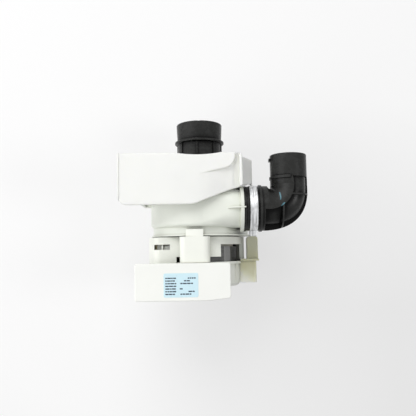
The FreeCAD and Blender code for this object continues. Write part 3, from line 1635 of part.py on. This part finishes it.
NODES = {
    "inlet_sleeve": inlet_sleeve,
    "inlet_clamp": inlet_clamp,
    "volute_housing": volute_housing,
    "outlet_elbow": outlet_elbow,
    "outlet_clamp": outlet_clamp,
    "drip_shield": drip_shield,
    "impeller_base": impeller_base,
    "impeller_shroud": impeller_shroud,
    "impeller_cap": impeller_cap,
    "back_plate": back_plate,
    "housing_o_ring": housing_o_ring,
    "seal_seat_cup": seal_seat_cup,
    "seal_seat_ring": seal_seat_ring,
    "seal_face_ring": seal_face_ring,
    "seal_bellows": seal_bellows,
    "seal_spring": seal_spring,
    "shaft_slinger": shaft_slinger,
    "motor_front_shield": motor_front_shield,
    "motor_rear_housing": motor_rear_housing,
    "motor_screws": motor_screws,
    "rubber_feet": rubber_feet,
    "stator_core": stator_core,
    "stator_insulators": stator_insulators,
    "stator_coils": stator_coils,
    "rotor_core": rotor_core,
    "rotor_magnets": rotor_magnets,
    "motor_shaft": motor_shaft,
    "front_bearing_outer_ring": lambda: bearing_outer(front_bearing_y),
    "front_bearing_inner_ring": lambda: bearing_inner(front_bearing_y),
    "front_bearing_balls": lambda: Part.makeCompound(bearing_balls(front_bearing_y, ball_r)),
    "front_bearing_cage": lambda: bearing_cage(front_bearing_y),
    "rear_bearing_outer_ring": lambda: bearing_outer(rear_bearing_y),
    "rear_bearing_inner_ring": lambda: bearing_inner(rear_bearing_y),
    "rear_bearing_balls": lambda: Part.makeCompound(bearing_balls(rear_bearing_y, ball_r)),
    "rear_bearing_cage": lambda: bearing_cage(rear_bearing_y),
    "spring_washer": spring_washer,
    "electronics_housing": electronics_housing,
    "electronics_lid": electronics_lid,
    "circuit_board": circuit_board,
    "board_screws": board_screws,
    "capacitors": capacitors,
    "power_module": power_module,
    "heat_sink": heat_sink,
    "line_choke": line_choke,
    "motor_leads": motor_leads,
    "rating_label": rating_label,
    "connector_hood": connector_hood,
    "connector_pins": connector_pins,
}

os.makedirs("parts", exist_ok=True)
for name, make in NODES.items():
    make().exportStep("parts/" + name + ".step")
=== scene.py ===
import json
import math
import random

import bmesh
import bpy
from mathutils import Matrix, Vector
from mathutils.bvhtree import BVHTree


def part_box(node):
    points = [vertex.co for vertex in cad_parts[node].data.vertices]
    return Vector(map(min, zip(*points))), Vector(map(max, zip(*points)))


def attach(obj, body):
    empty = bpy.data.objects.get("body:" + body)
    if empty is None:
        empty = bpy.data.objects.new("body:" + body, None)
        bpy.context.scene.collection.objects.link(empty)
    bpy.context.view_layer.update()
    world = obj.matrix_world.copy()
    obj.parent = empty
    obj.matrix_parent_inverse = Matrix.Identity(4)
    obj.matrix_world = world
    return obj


# Looks of the circulation pump. Metres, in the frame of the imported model: X towards the outlet,
# Y along the pump axis towards the inlet, Z up. A name that ends in _mm holds millimetres.

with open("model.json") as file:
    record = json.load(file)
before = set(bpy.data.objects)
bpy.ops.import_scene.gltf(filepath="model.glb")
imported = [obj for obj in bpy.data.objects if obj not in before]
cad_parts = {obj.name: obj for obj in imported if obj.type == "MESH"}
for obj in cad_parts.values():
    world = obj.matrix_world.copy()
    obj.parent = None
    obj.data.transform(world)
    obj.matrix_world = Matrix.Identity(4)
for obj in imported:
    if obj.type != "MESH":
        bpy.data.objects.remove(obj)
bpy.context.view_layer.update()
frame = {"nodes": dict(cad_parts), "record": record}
nodes = frame["nodes"]
MM = 0.001


# Camera: straight down on the pump, tipped a little towards the inlet

camera_target = Vector((8.0, -88.0, 0.0)) * MM
camera_distance = 515.0 * MM
camera_tilt = math.radians(5.0)
camera_roll = math.radians(-1.0)
focal_pixels = 490.0
photo_pixels = 416.0
sensor_width = 36.0
nearest_seen = 0.01
farthest_seen = 20.0


def add_camera():
    forward = Vector((0.0, math.sin(camera_tilt), -math.cos(camera_tilt)))
    level_up = Vector((0.0, math.cos(camera_tilt), math.sin(camera_tilt)))
    level_right = Vector((1.0, 0.0, 0.0))
    right = level_right * math.cos(camera_roll) + level_up * math.sin(camera_roll)
    up = level_up * math.cos(camera_roll) - level_right * math.sin(camera_roll)
    data = bpy.data.cameras.new("camera")
    data.sensor_width = sensor_width
    data.lens = focal_pixels / photo_pixels * sensor_width
    data.clip_start = nearest_seen
    data.clip_end = farthest_seen
    camera = bpy.data.objects.new("camera", data)
    turn = Matrix((right, up, -forward)).transposed().to_4x4()
    camera.matrix_world = Matrix.Translation(camera_target - forward * camera_distance) @ turn
    bpy.context.scene.collection.objects.link(camera)
    bpy.context.scene.camera = camera


# Materials

phase_per_unit = 20.0         # how fast the wave texture's phase runs at scale 1
bevel_samples = 6
crevice_samples = 8


class Finish:
    """A material being built: its nodes, its shader and the object's own coordinates."""

    def __init__(self, name, colour, roughness, metallic=0.0):
        self.name = name
        self.material = bpy.data.materials.new(name)
        self.material.use_nodes = True
        self.tree = self.material.node_tree
        self.shader = self.tree.nodes["Principled BSDF"]
        self.place = self.add("ShaderNodeTexCoord").outputs["Object"]
        self.normal = None
        self.set("Base Color", (*colour, 1.0))
        self.set("Roughness", roughness)
        self.set("Metallic", metallic)

    def add(self, kind):
        return self.tree.nodes.new(kind)

    def link(self, source, target):
        self.tree.links.new(source, target)

    def set(self, socket, value):
        self.shader.inputs[socket].default_value = value

    def stretched(self, factors):
        """Coordinates with each axis multiplied by its own factor."""
        node = self.add("ShaderNodeVectorMath")
        node.operation = "MULTIPLY"
        node.inputs[1].default_value = factors
        self.link(self.place, node.inputs[0])
        return node.outputs["Vector"]

    def reach(self, vector):
        """Length of a vector."""
        node = self.add("ShaderNodeVectorMath")
        node.operation = "LENGTH"
        self.link(vector, node.inputs[0])
        return node.outputs["Value"]

    def combined(self, operation, first, second):
        node = self.add("ShaderNodeMath")
        node.operation = operation
        self.link(first, node.inputs[0])
        self.link(second, node.inputs[1])
        return node.outputs["Value"]

    def noise(self, size_mm, detail=2.0, roughness=0.5, stretch=None):
        node = self.add("ShaderNodeTexNoise")
        node.inputs["Scale"].default_value = 1.0 / (size_mm * MM)
        node.inputs["Detail"].default_value = detail
        node.inputs["Roughness"].default_value = roughness
        self.link(self.stretched(stretch) if stretch else self.place, node.inputs["Vector"])
        return node.outputs["Fac"]

    def bands(self, pitch_mm, axis, distortion=0.0):
        node = self.add("ShaderNodeTexWave")
        node.bands_direction = axis
        node.inputs["Scale"].default_value = 2.0 * math.pi / (phase_per_unit * pitch_mm * MM)
        node.inputs["Distortion"].default_value = distortion
        node.inputs["Detail"].default_value = 1.0
        self.link(self.place, node.inputs["Vector"])
        return node.outputs["Fac"]

    def ramp(self, value, low, high, low_out=0.0, high_out=1.0):
        node = self.add("ShaderNodeMapRange")
        node.inputs["From Min"].default_value = low
        node.inputs["From Max"].default_value = high
        node.inputs["To Min"].default_value = low_out
        node.inputs["To Max"].default_value = high_out
        self.link(value, node.inputs["Value"])
        return node.outputs["Result"]

    def blend_colour(self, fac, first, second):
        """Mix of two colours, each a tuple or the output of another node."""
        node = self.add("ShaderNodeMix")
        node.data_type = "RGBA"
        self.link(fac, node.inputs[0])
        for socket, colour in ((node.inputs[6], first), (node.inputs[7], second)):
            if isinstance(colour, tuple):
                socket.default_value = (*colour, 1.0)
            else:
                self.link(colour, socket)
        return node.outputs[2]

    def paint(self, output):
        self.link(output, self.shader.inputs["Base Color"])

    def gloss(self, output):
        self.link(output, self.shader.inputs["Roughness"])

    def use_normal(self, output):
        self.normal = output
        self.link(output, self.shader.inputs["Normal"])

    def soften_edges(self, radius_mm):
        node = self.add("ShaderNodeBevel")
        node.samples = bevel_samples
        node.inputs["Radius"].default_value = radius_mm * MM
        self.use_normal(node.outputs["Normal"])

    def bump(self, height, depth_mm, strength=1.0):
        """Adds a bump on top of what the surface's normal already has."""
        node = self.add("ShaderNodeBump")
        node.inputs["Distance"].default_value = depth_mm * MM
        node.inputs["Strength"].default_value = strength
        self.link(height, node.inputs["Height"])
        if self.normal is not None:
            self.link(self.normal, node.inputs["Normal"])
        self.use_normal(node.outputs["Normal"])

    def crevice(self, reach_mm):
        """1 in the open, falling to 0 in corners and gaps."""
        node = self.add("ShaderNodeAmbientOcclusion")
        node.samples = crevice_samples
        node.inputs["Distance"].default_value = reach_mm * MM
        return node.outputs["AO"]


def shaded(colour, factor):
    return tuple(channel * factor for channel in colour)


def lifted(colour, step):
    return tuple(channel + step for channel in colour)


# Marks on moulded plastic

cloud_mm = 26.0
fleck_mm = 2.2
fleck_share = 0.35
sheen_mm = 7.0
ripple_mm = 9.0
ripple_depth_mm = 0.02
# Painted shade: corners and deep cavities darken the colour by how little of the open they see; in corners
# it is tinted like grime.
corner_shade_mm = 3.0
corner_shade_open = (0.15, 0.85)    # view of a corner that gets the full painted shade and grime, and of one that is clean
cavity_shade_mm = 26.0
cavity_shade_full = 0.12            # view out of a cavity at which its painted shade is darkest
shade_and_grime_tint = (1.0, 1.1, 1.6)  # how strongly the painted shade and grime in corners take red, green and blue away


def moulded(name, colour, roughness, grain_mm=0.35, grain_depth_mm=0.006, edge_mm=0.35, mottle=0.03,
            shade_and_grime=0.16, cavity_shade_left=0.42, shade_start_view=0.6):
    """Injection-moulded plastic: faint mottle and flow, fine grain, soft edges, painted shade and grime in
    the corners, painted shade in deep cavities.

    shade_and_grime is what the painted shade and grime in the corners take from the colour,
    cavity_shade_left what the painted shade of a deep cavity leaves of it, and shade_start_view the view
    out of a cavity, from 0 to 1, below which its painted shade starts.
    """
    finish = Finish(name, colour, roughness)
    clouds = finish.ramp(finish.noise(cloud_mm, detail=3.0, roughness=0.55), 0.35, 0.65)
    flecks = finish.ramp(finish.noise(fleck_mm, roughness=0.6), 0.62, 0.8, 0.0, fleck_share)
    tone = finish.blend_colour(clouds, shaded(colour, 1.0 - mottle), colour)
    tone = finish.blend_colour(flecks, tone, shaded(colour, 1.0 - 2 * mottle))
    # Painted shade, tinted like grime, in the corners.
    shade_and_grime_colour = tuple(channel * (1.0 - tint * shade_and_grime) for channel, tint in zip(colour, shade_and_grime_tint))
    tone = finish.blend_colour(finish.ramp(finish.crevice(corner_shade_mm), *corner_shade_open), shade_and_grime_colour, tone)
    # Painted shade in deep cavities.
    cavity = finish.ramp(finish.crevice(cavity_shade_mm), cavity_shade_full, shade_start_view)
    finish.paint(finish.blend_colour(cavity, shaded(colour, cavity_shade_left), tone))
    sheen = finish.noise(sheen_mm, detail=3.0)
    finish.gloss(finish.ramp(sheen, 0.3, 0.7, roughness - 0.05, roughness + 0.07))
    finish.soften_edges(edge_mm)
    finish.bump(finish.noise(grain_mm), grain_depth_mm)
    finish.bump(finish.noise(ripple_mm, detail=1.0), ripple_depth_mm)
    return finish


def translucent(finish, weight, reach_mm):
    """Lets light through thin walls."""
    finish.set("Subsurface Weight", weight)
    finish.set("Subsurface Radius", (1.0, 1.0, 0.9))
    finish.set("Subsurface Scale", reach_mm * MM)
    return finish


# Marks on rubber

rubber_shine = 0.12           # specular level
bloom_mm = 9.0
bloom_lift = 0.035            # that full bloom adds to the colour
speck_mm = 0.9
speck_lift = 0.03
pocket_shade_mm = 14.0
pocket_shade_left = 0.08            # share of the colour that the painted shade leaves in a pocket
scuff_mm = 4.5
peel_mm = 0.5
swell_mm = 6.0
swell_depth_mm = 0.05


def rubber(name, colour, roughness, peel_depth_mm=0.012, bloom=0.5, edge_mm=0.5):
    """Moulded rubber: grey bloom in patches, scuffs that shine, a fine orange peel, painted shade in the
    pockets.
    """
    finish = Finish(name, colour, roughness)
    finish.set("Specular IOR Level", rubber_shine)
    patches = finish.ramp(finish.noise(bloom_mm, detail=4.0, roughness=0.6), 0.42, 0.72)
    tone = finish.blend_colour(patches, colour, lifted(colour, bloom * bloom_lift))
    specks = finish.ramp(finish.noise(speck_mm), 0.66, 0.74, 0.0, 0.5)
    tone = finish.blend_colour(specks, tone, lifted(colour, speck_lift))
    # Painted shade: pockets darken to a small share of the colour.
    painted_pocket_shade = finish.ramp(finish.crevice(pocket_shade_mm), 0.8, 1.0)
    finish.paint(finish.blend_colour(painted_pocket_shade, shaded(colour, pocket_shade_left), tone))
    scuffs = finish.noise(scuff_mm, detail=3.0, roughness=0.6)
    finish.gloss(finish.ramp(scuffs, 0.32, 0.7, roughness - 0.1, roughness + 0.12))
    finish.soften_edges(edge_mm)
    finish.bump(finish.noise(peel_mm), peel_depth_mm)
    finish.bump(finish.noise(swell_mm), swell_depth_mm)
    return finish


# Metals

smudge_mm = 7.0
brush_depth_mm = 0.006
brushed_round_x = (1.1, 0.04, 0.04)  # factors on X, Y and Z, low along the brush marks
brushed_round_y = (0.05, 3.0, 0.05)
brushed_along_x = (0.05, 3.0, 3.0)


def steel(name, colour, roughness, brush, edge_mm=0.15, streak=0.84):
    """Bright metal, brushed along the axes whose stretch factor is low."""
    finish = Finish(name, colour, roughness, metallic=1.0)
    lines = finish.noise(1.0, detail=3.0, roughness=0.6, stretch=brush)
    tone = finish.blend_colour(finish.ramp(lines, 0.35, 0.6), shaded(colour, streak), colour)
    smudge = finish.ramp(finish.noise(smudge_mm, detail=3.0), 0.5, 0.62, 0.0, 0.6)
    finish.paint(finish.blend_colour(smudge, tone, shaded(colour, streak)))
    finish.gloss(finish.ramp(lines, 0.3, 0.7, roughness - 0.06, roughness + 0.1))
    finish.soften_edges(edge_mm)
    finish.bump(lines, brush_depth_mm)
    return finish


def polished(name, colour, roughness):
    finish = Finish(name, colour, roughness, metallic=1.0)
    wear = finish.noise(1.5, detail=3.0)
    finish.gloss(finish.ramp(wear, 0.3, 0.7, roughness, roughness + 0.08))
    finish.paint(finish.blend_colour(wear, shaded(colour, 0.94), colour))
    finish.soften_edges(0.1)
    return finish


# Stator stack

sheet_mm = 0.5
corner_angle = math.radians(8.9)     # from the X axis to the nearest round corner of the stack
rub_start_mm = 0.3                   # depth under the round corners where the rubbed steel begins
rub_full_mm = 0.1                    # depth from which it is all rubbed
rubbed_lift = 2.2                    # factor on the colour where the steel is rubbed
gap_left = 0.35                      # share of the colour between two sheets


def laminated(name, colour):
    """Stack of stamped sheets along Y, with a dark blued edge."""
    finish = Finish(name, colour, 0.42, metallic=0.75)
    sheets = finish.bands(sheet_mm, "Y")
    tint = finish.noise(3.0, detail=3.0, roughness=0.6, stretch=(0.35, 2.5, 0.35))
    tone = finish.blend_colour(finish.ramp(tint, 0.35, 0.65), shaded(colour, 0.7), shaded(colour, 1.25))
    radius = finish.reach(finish.stretched((1.0, 0.0, 1.0)))
    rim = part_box("stator_core")[1].x / math.cos(corner_angle)
    rubbed = finish.ramp(radius, rim - rub_start_mm * MM, rim - rub_full_mm * MM)
    tone = finish.blend_colour(rubbed, tone, shaded(colour, rubbed_lift))
    face = finish.ramp(sheets, 0.0, 0.22)
    finish.paint(finish.blend_colour(face, shaded(colour, gap_left), tone))
    finish.soften_edges(0.2)
    finish.bump(sheets, depth_mm=0.05, strength=0.7)
    return finish


wire_mm = 0.55


def enamelled_wire(name, colour):
    finish = Finish(name, colour, 0.34, metallic=0.85)
    wires = finish.bands(wire_mm, "DIAGONAL", distortion=0.6)
    finish.paint(finish.blend_colour(finish.ramp(wires, 0.1, 0.6), shaded(colour, 0.4), colour))
    finish.set("Coat Weight", 0.5)
    finish.set("Coat Roughness", 0.12)
    finish.soften_edges(0.4)
    finish.bump(wires, depth_mm=0.2, strength=0.8)
    return finish


# Connector hood

hood_slant = Vector((-0.6, -0.8, 0.0))     # towards the open end beside the motor
hood_fade_mm = 15.0                        # of the way to the open end over which the nylon pales


def natural_nylon(name, thick, thin):
    """Nylon that is browner where it is thick and paler towards the open end, beside the motor."""
    finish = Finish(name, thick, 0.34)
    depth = finish.add("ShaderNodeVectorMath")
    depth.operation = "DOT_PRODUCT"
    depth.inputs[1].default_value = hood_slant
    finish.link(finish.place, depth.inputs[0])
    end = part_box("connector_hood")[0].dot(hood_slant)
    pale = finish.ramp(depth.outputs["Value"], end - hood_fade_mm * MM, end)
    tone = finish.blend_colour(pale, thick, thin)
    cloud = finish.ramp(finish.noise(20.0, detail=1.0), 0.3, 0.7, 0.0, 0.3)
    tone = finish.blend_colour(cloud, tone, thin)
    # Painted shade: corners darken the nylon.
    corner = finish.ramp(finish.crevice(corner_shade_mm), *corner_shade_open)
    finish.paint(finish.blend_colour(corner, shaded(thick, 0.7), tone))
    finish.set("Subsurface Weight", 0.5)
    finish.set("Subsurface Radius", (0.006, 0.0055, 0.0035))
    finish.set("Subsurface Scale", 0.7)
    finish.soften_edges(0.4)
    finish.bump(finish.noise(ripple_mm, detail=1.0), ripple_depth_mm)
    return finish


def printed_film(name, colour):
    finish = Finish(name, colour, 0.3)
    fibre = finish.noise(0.6)
    finish.paint(finish.blend_colour(finish.ramp(fibre, 0.3, 0.7), shaded(colour, 0.97), colour))
    finish.gloss(finish.ramp(finish.noise(5.0), 0.3, 0.7, 0.25, 0.4))
    finish.bump(finish.noise(3.0), depth_mm=0.01)
    return finish


def make_materials():
    """Every finish, by the name of its material slot."""
    finishes = [
        rubber("black_rubber", (0.027, 0.0274, 0.0264), 0.27, bloom=0.25),
        rubber("seal_rubber", (0.02, 0.02, 0.02), 0.5, peel_depth_mm=0.006, bloom=0.2, edge_mm=0.2),
        rubber("foot_rubber", (0.09, 0.09, 0.09), 0.62, peel_depth_mm=0.02, bloom=0.6, edge_mm=0.4),
        steel("clamp_steel", (0.86, 0.87, 0.88), 0.46, brushed_round_x, streak=0.45),
        steel("screw_steel", (0.66, 0.66, 0.64), 0.34, brushed_round_y),
        polished("spring_steel", (0.6, 0.6, 0.6), 0.22),
        steel("shaft_steel", (0.72, 0.72, 0.73), 0.18, brushed_round_y),
        polished("bearing_steel", (0.8, 0.8, 0.8), 0.08),
        laminated("lamination_steel", (0.12, 0.12, 0.118)),
        moulded("magnet", (0.1, 0.1, 0.11), 0.5, grain_mm=0.3, grain_depth_mm=0.02, edge_mm=0.2),
        enamelled_wire("copper", (0.68, 0.3, 0.13)),
        polished("pin_brass", (0.83, 0.68, 0.36), 0.2),
        moulded("pump_plastic", (0.8, 0.825, 0.755), 0.36, grain_mm=0.5, grain_depth_mm=0.004, edge_mm=0.45,
                cavity_shade_left=0.3, shade_start_view=0.42),
        translucent(
            moulded("shield_plastic", (0.94, 0.95, 0.9), 0.33, grain_mm=0.4, grain_depth_mm=0.004,
                    edge_mm=2.0, mottle=0.012, shade_and_grime=0.04, cavity_shade_left=0.9),
            weight=0.5, reach_mm=5.0),
        moulded("motor_plastic", (0.9, 0.915, 0.85), 0.42, grain_depth_mm=0.008, edge_mm=0.3, mottle=0.02,
                cavity_shade_left=0.5),
        moulded("lid_plastic", (0.93, 0.94, 0.9), 0.45, grain_mm=0.3, grain_depth_mm=0.01, edge_mm=0.4,
                mottle=0.02, shade_and_grime=0.05, cavity_shade_left=0.9),
        moulded("impeller_plastic", (0.8, 0.81, 0.78), 0.45),
        moulded("insulator_plastic", (0.82, 0.79, 0.68), 0.4),
        moulded("cage_plastic", (0.7, 0.64, 0.46), 0.4),
        moulded("black_plastic", (0.035, 0.035, 0.037), 0.45, grain_mm=0.3, grain_depth_mm=0.015),
        moulded("capacitor_can", (0.06, 0.075, 0.12), 0.28, grain_mm=0.4, grain_depth_mm=0.002),
        steel("sink_aluminium", (0.78, 0.79, 0.8), 0.32, brushed_along_x),
        moulded("board", (0.05, 0.2, 0.09), 0.3, grain_mm=0.8, grain_depth_mm=0.01),
        moulded("lead_insulation", (0.95, 0.82, 0.5), 0.36, grain_mm=0.4, grain_depth_mm=0.004, edge_mm=0.2,
                cavity_shade_left=1.0),
        printed_film("label_film", (0.66, 0.87, 0.95)),
        natural_nylon("natural_nylon", thick=(0.66, 0.65, 0.45), thin=(0.95, 0.96, 0.88)),
        moulded("seal_ceramic", (0.88, 0.86, 0.8), 0.2, grain_mm=0.3, grain_depth_mm=0.001),
        moulded("seal_carbon", (0.05, 0.05, 0.05), 0.3, grain_mm=0.3, grain_depth_mm=0.002),
    ]
    return {finish.name: finish for finish in finishes}


def dress_nodes(materials):
    """Each CAD node takes the finish of its material slot in the record."""
    for entry in frame["record"]["subparts"]:
        slots = nodes[entry["node"]].data.materials
        material = materials[entry["material_slot"]].material
        if len(slots) == 0:
            slots.append(material)
        for i in range(len(slots)):
            slots[i] = material


# Pieces that only the looks need

def add_piece(name, mesh_builder, finish, body):
    """Object from a bmesh: named, finished, riding on its body."""
    mesh = bpy.data.meshes.new(name)
    mesh_builder.to_mesh(mesh)
    mesh_builder.free()
    mesh.materials.append(finish.material)
    piece = bpy.data.objects.new(name, mesh)
    bpy.context.scene.collection.objects.link(piece)
    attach(piece, body)
    return piece


def slab(builder, x_low, x_high, y_low, y_high, z_low, z_high):
    """Closed box added to a bmesh."""
    corners = []
    for z in (z_low, z_high):
        for x, y in ((x_low, y_low), (x_high, y_low), (x_high, y_high), (x_low, y_high)):
            corners.append(builder.verts.new((x, y, z)))
    builder.faces.new((corners[3], corners[2], corners[1], corners[0]))
    builder.faces.new(corners[4:])
    for i in range(4):
        j = (i + 1) % 4
        builder.faces.new((corners[i], corners[j], corners[4 + j], corners[4 + i]))


# Printing on the label: plain dashes in rows, no words

label_margin = 1.6 * MM
label_header = 3.4 * MM       # left bare above the first row
dash_height = 1.2 * MM
dash_rise = 0.03 * MM
dash_gap = 0.4 * MM
shortest_dash_mm = 1.2
longest_dash_mm = 4.0
row_count = 7
row_drop = 0.7                # share of a row's pitch from its top to the foot of its dashes
ragged_end = 0.05             # share of the width by which rows may end early
left_column = (0.0, 0.36)
right_column = (
    (0, 0.72, 1.0),
    (1, 0.6, 0.86),
    (2, 0.48, 0.94),
    (4, 0.46, 0.62),
    (5, 0.74, 0.98),
    (6, 0.48, 0.92),
)                             # row, and the shares of the width where its dashes start and end
ink_colour = (0.03, 0.05, 0.08)
ink_full = (0.025, 0.045, 0.075)
ink_faded = (0.06, 0.085, 0.12)


def label_printing():
    ink = Finish("label_ink", ink_colour, 0.5)
    ink.paint(ink.blend_colour(ink.noise(0.4), ink_full, ink_faded))
    low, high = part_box("rating_label")
    left = low.x + label_margin
    width = high.x - low.x - 2 * label_margin
    pitch = (high.y - low.y - label_header - label_margin) / row_count
    draw = random.Random(7)
    builder = bmesh.new()
    lines = [(row, *left_column) for row in range(row_count)] + list(right_column)
    for row, start, end in lines:
        y = high.y - label_header - (row + row_drop) * pitch
        x = left + start * width
        stop = left + (end - ragged_end * draw.random()) * width
        while x < stop - dash_height:
            length = min(draw.uniform(shortest_dash_mm, longest_dash_mm) * MM, stop - x)
            slab(builder, x, x + length, y, y + dash_height, high.z, high.z + dash_rise)
            x += length + dash_gap
    add_piece("label_dashes", builder, ink, "housing")


# Pale ledge under the right half of the slot in the wire chamber, beside the lead guide

ledge_left = -36.8 * MM
ledge_right = -28.4 * MM
ledge_back = -133.5 * MM
ledge_front = -127.0 * MM
ledge_top = 33.0 * MM
ledge_thick = 1.2 * MM


def slot_ledge(materials):
    builder = bmesh.new()
    slab(builder, ledge_left, ledge_right, ledge_back, ledge_front, ledge_top - ledge_thick, ledge_top)
    add_piece("slot_ledge", builder, materials["motor_plastic"], "housing")


# Two strokes of blue paint on the elbow, as points along X and Y

upper_stroke_mm = [(75.2, -79.3), (75.8, -83.3), (75.6, -86.7)]
lower_stroke_mm = [(79.4, -89.4), (77.9, -90.7), (76.2, -92.6)]
upper_width = 1.2 * MM
lower_width = 1.3 * MM
stroke_lift = 0.06 * MM
stroke_steps = 7              # between two points of a stroke
stroke_tip = 0.45             # share of the width that is left at a stroke's ends
stroke_cut = 0.06             # share of the length at each end where the width stays at its least
ray_height = 0.2
blue_colour = (0.1, 0.24, 0.29)
blue_thin = (0.03, 0.11, 0.15)
blue_thick = (0.11, 0.26, 0.31)


def surface_of(node):
    mesh = nodes[node].data
    builder = bmesh.new()
    builder.from_mesh(mesh)
    tree = BVHTree.FromBMesh(builder)
    builder.free()
    return tree


def stroke_line(spots_mm):
    """Points at even steps along a stroke, seen from above."""
    path = [(x * MM, y * MM) for x, y in spots_mm]
    line = []
    for (ax, ay), (bx, by) in zip(path, path[1:]):
        for i in range(stroke_steps):
            x = ax + (bx - ax) * i / stroke_steps
            y = ay + (by - ay) * i / stroke_steps
            line.append(Vector((x, y, 0.0)))
    line.append(Vector((*path[-1], 0.0)))
    return line


def paint_stroke(name, surface, spots_mm, width, finish, body):
    """Thin film of paint laid on a surface from above."""
    line = stroke_line(spots_mm)
    last = len(line) - 1
    builder = bmesh.new()
    rows = []
    for i, spot in enumerate(line):
        ahead = (line[min(i + 1, last)] - line[max(i - 1, 0)]).normalized()
        across = Vector((-ahead.y, ahead.x, 0.0))
        share = min(max(i / last, stroke_cut), 1.0 - stroke_cut)
        swell = math.sin(math.pi * share) ** 0.5
        half = 0.5 * width * (stroke_tip + (1.0 - stroke_tip) * swell)
        row = []
        for k in range(-2, 3):
            above = spot + across * half * k / 2 + Vector((0.0, 0.0, ray_height))
            hit, normal, _, _ = surface.ray_cast(above, Vector((0.0, 0.0, -1.0)))
            row.append(builder.verts.new(hit + normal * stroke_lift))
        rows.append(row)
    for first, second in zip(rows, rows[1:]):
        for a, b, c, d in zip(first, first[1:], second[1:], second):
            builder.faces.new((a, b, c, d))
    piece = add_piece(name, builder, finish, body)
    piece.data.shade_smooth()


def elbow_paint():
    blue = Finish("blue_paint", blue_colour, 0.5)
    worn = blue.ramp(blue.noise(1.2, detail=3.0), 0.35, 0.65)
    blue.paint(blue.blend_colour(worn, blue_thin, blue_thick))
    surface = surface_of("outlet_elbow")
    paint_stroke("paint_stroke_upper", surface, upper_stroke_mm, upper_width, blue, "housing")
    paint_stroke("paint_stroke_lower", surface, lower_stroke_mm, lower_width, blue, "housing")


# Floor, light and world

floor_size = 4.0
floor_gap = 0.05 * MM         # under the feet
floor_white = 0.4
floor_shade_grey = 0.27             # painted shade: colour of the paper far down on the right
shade_across = (-0.11, 0.22)   # X where the painted shade on the paper starts, and where it is full
shade_down = (0.04, -0.2)      # the same along Y
floor_far = 0.1               # of the paper far away all round
far_shade = (0.35, 1.1)       # distance where the paper starts to darken, and where it has
floor_glow = 0.54             # what the camera and reflections see on top of the lit paper
far_glow = 0.63               # the same far away, where the lamps hardly reach
far_light = (0.35, 1.3)       # distance where the glow starts to rise, and where it has risen
light_target = Vector((0.0, -0.09, 0.0))
key_place = Vector((-0.4, 1.0, 1.1))
key_size = 1.2
key_power = 16.0
side_place = Vector((-1.35, -0.55, 0.75))
side_size = 2.0
side_power = 21.5
fill_place = Vector((1.2, -0.25, 0.95))
fill_size = 0.45
fill_power = 5.0
world_strength = 0.27
backdrop_strength = 0.7       # the world as the camera and reflections see it


def by_eye(tree):
    """1 for what the camera sees directly, in a reflection or through a clear piece, 0 for other light."""
    path = tree.nodes.new("ShaderNodeLightPath")
    seen = path.outputs["Is Camera Ray"]
    for ray in ("Is Glossy Ray", "Is Transmission Ray"):
        either = tree.nodes.new("ShaderNodeMath")
        either.operation = "MAXIMUM"
        tree.links.new(seen, either.inputs[0])
        tree.links.new(path.outputs[ray], either.inputs[1])
        seen = either.outputs["Value"]
    return seen


def paper():
    """White paper with painted shade that greys it towards the lower right, as bright to the eye as in the
    photograph.
    """
    finish = Finish("paper", (floor_white,) * 3, 0.9)
    finish.set("Specular IOR Level", 0.0)
    split = finish.add("ShaderNodeSeparateXYZ")
    finish.link(finish.place, split.inputs["Vector"])
    # Painted shade: the paper greys towards the lower right.
    across = finish.ramp(split.outputs["X"], *shade_across)
    down = finish.ramp(split.outputs["Y"], *shade_down)
    floor_shade_share = finish.combined("MULTIPLY", across, down)
    near = finish.blend_colour(floor_shade_share, (floor_white,) * 3, (floor_shade_grey,) * 3)
    away = finish.reach(finish.place)
    finish.paint(finish.blend_colour(finish.ramp(away, *far_shade), near, (floor_far,) * 3))
    strength = finish.ramp(away, *far_light, floor_glow, far_glow)
    glow = finish.combined("MULTIPLY", by_eye(finish.tree), strength)
    finish.set("Emission Color", (1.0, 1.0, 1.0, 1.0))
    finish.link(glow, finish.shader.inputs["Emission Strength"])
    return finish


def add_floor():
    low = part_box("rubber_feet")[0].z - floor_gap
    mesh = bpy.data.meshes.new("floor")
    half = floor_size / 2
    corners = [(-half, -half, low), (half, -half, low), (half, half, low), (-half, half, low)]
    mesh.from_pydata(corners, [], [(0, 1, 2, 3)])
    mesh.materials.append(paper().material)
    floor = bpy.data.objects.new("floor", mesh)
    bpy.context.scene.collection.objects.link(floor)


def add_softbox(name, place, size, power):
    lamp = bpy.data.lights.new(name, "AREA")
    lamp.shape = "SQUARE"
    lamp.size = size
    lamp.energy = power
    softbox = bpy.data.objects.new(name, lamp)
    softbox.location = place
    softbox.rotation_euler = (light_target - place).to_track_quat("-Z", "Y").to_euler()
    bpy.context.scene.collection.objects.link(softbox)


def add_world():
    world = bpy.data.worlds.new("world")
    bpy.context.scene.world = world
    world.use_nodes = True
    tree = world.node_tree
    background = tree.nodes["Background"]
    background.inputs["Color"].default_value = (1.0, 1.0, 1.0, 1.0)
    seen = by_eye(tree)
    level = tree.nodes.new("ShaderNodeMapRange")
    level.inputs["To Min"].default_value = world_strength
    level.inputs["To Max"].default_value = backdrop_strength
    tree.links.new(seen, level.inputs["Value"])
    tree.links.new(level.outputs["Result"], background.inputs["Strength"])


materials = make_materials()
dress_nodes(materials)
label_printing()
slot_ledge(materials)
elbow_paint()
add_floor()
add_softbox("key", key_place, key_size, key_power)
add_softbox("side", side_place, side_size, side_power)
add_softbox("fill", fill_place, fill_size, fill_power)
add_world()
add_camera()
bpy.context.scene.view_settings.view_transform = "Standard"
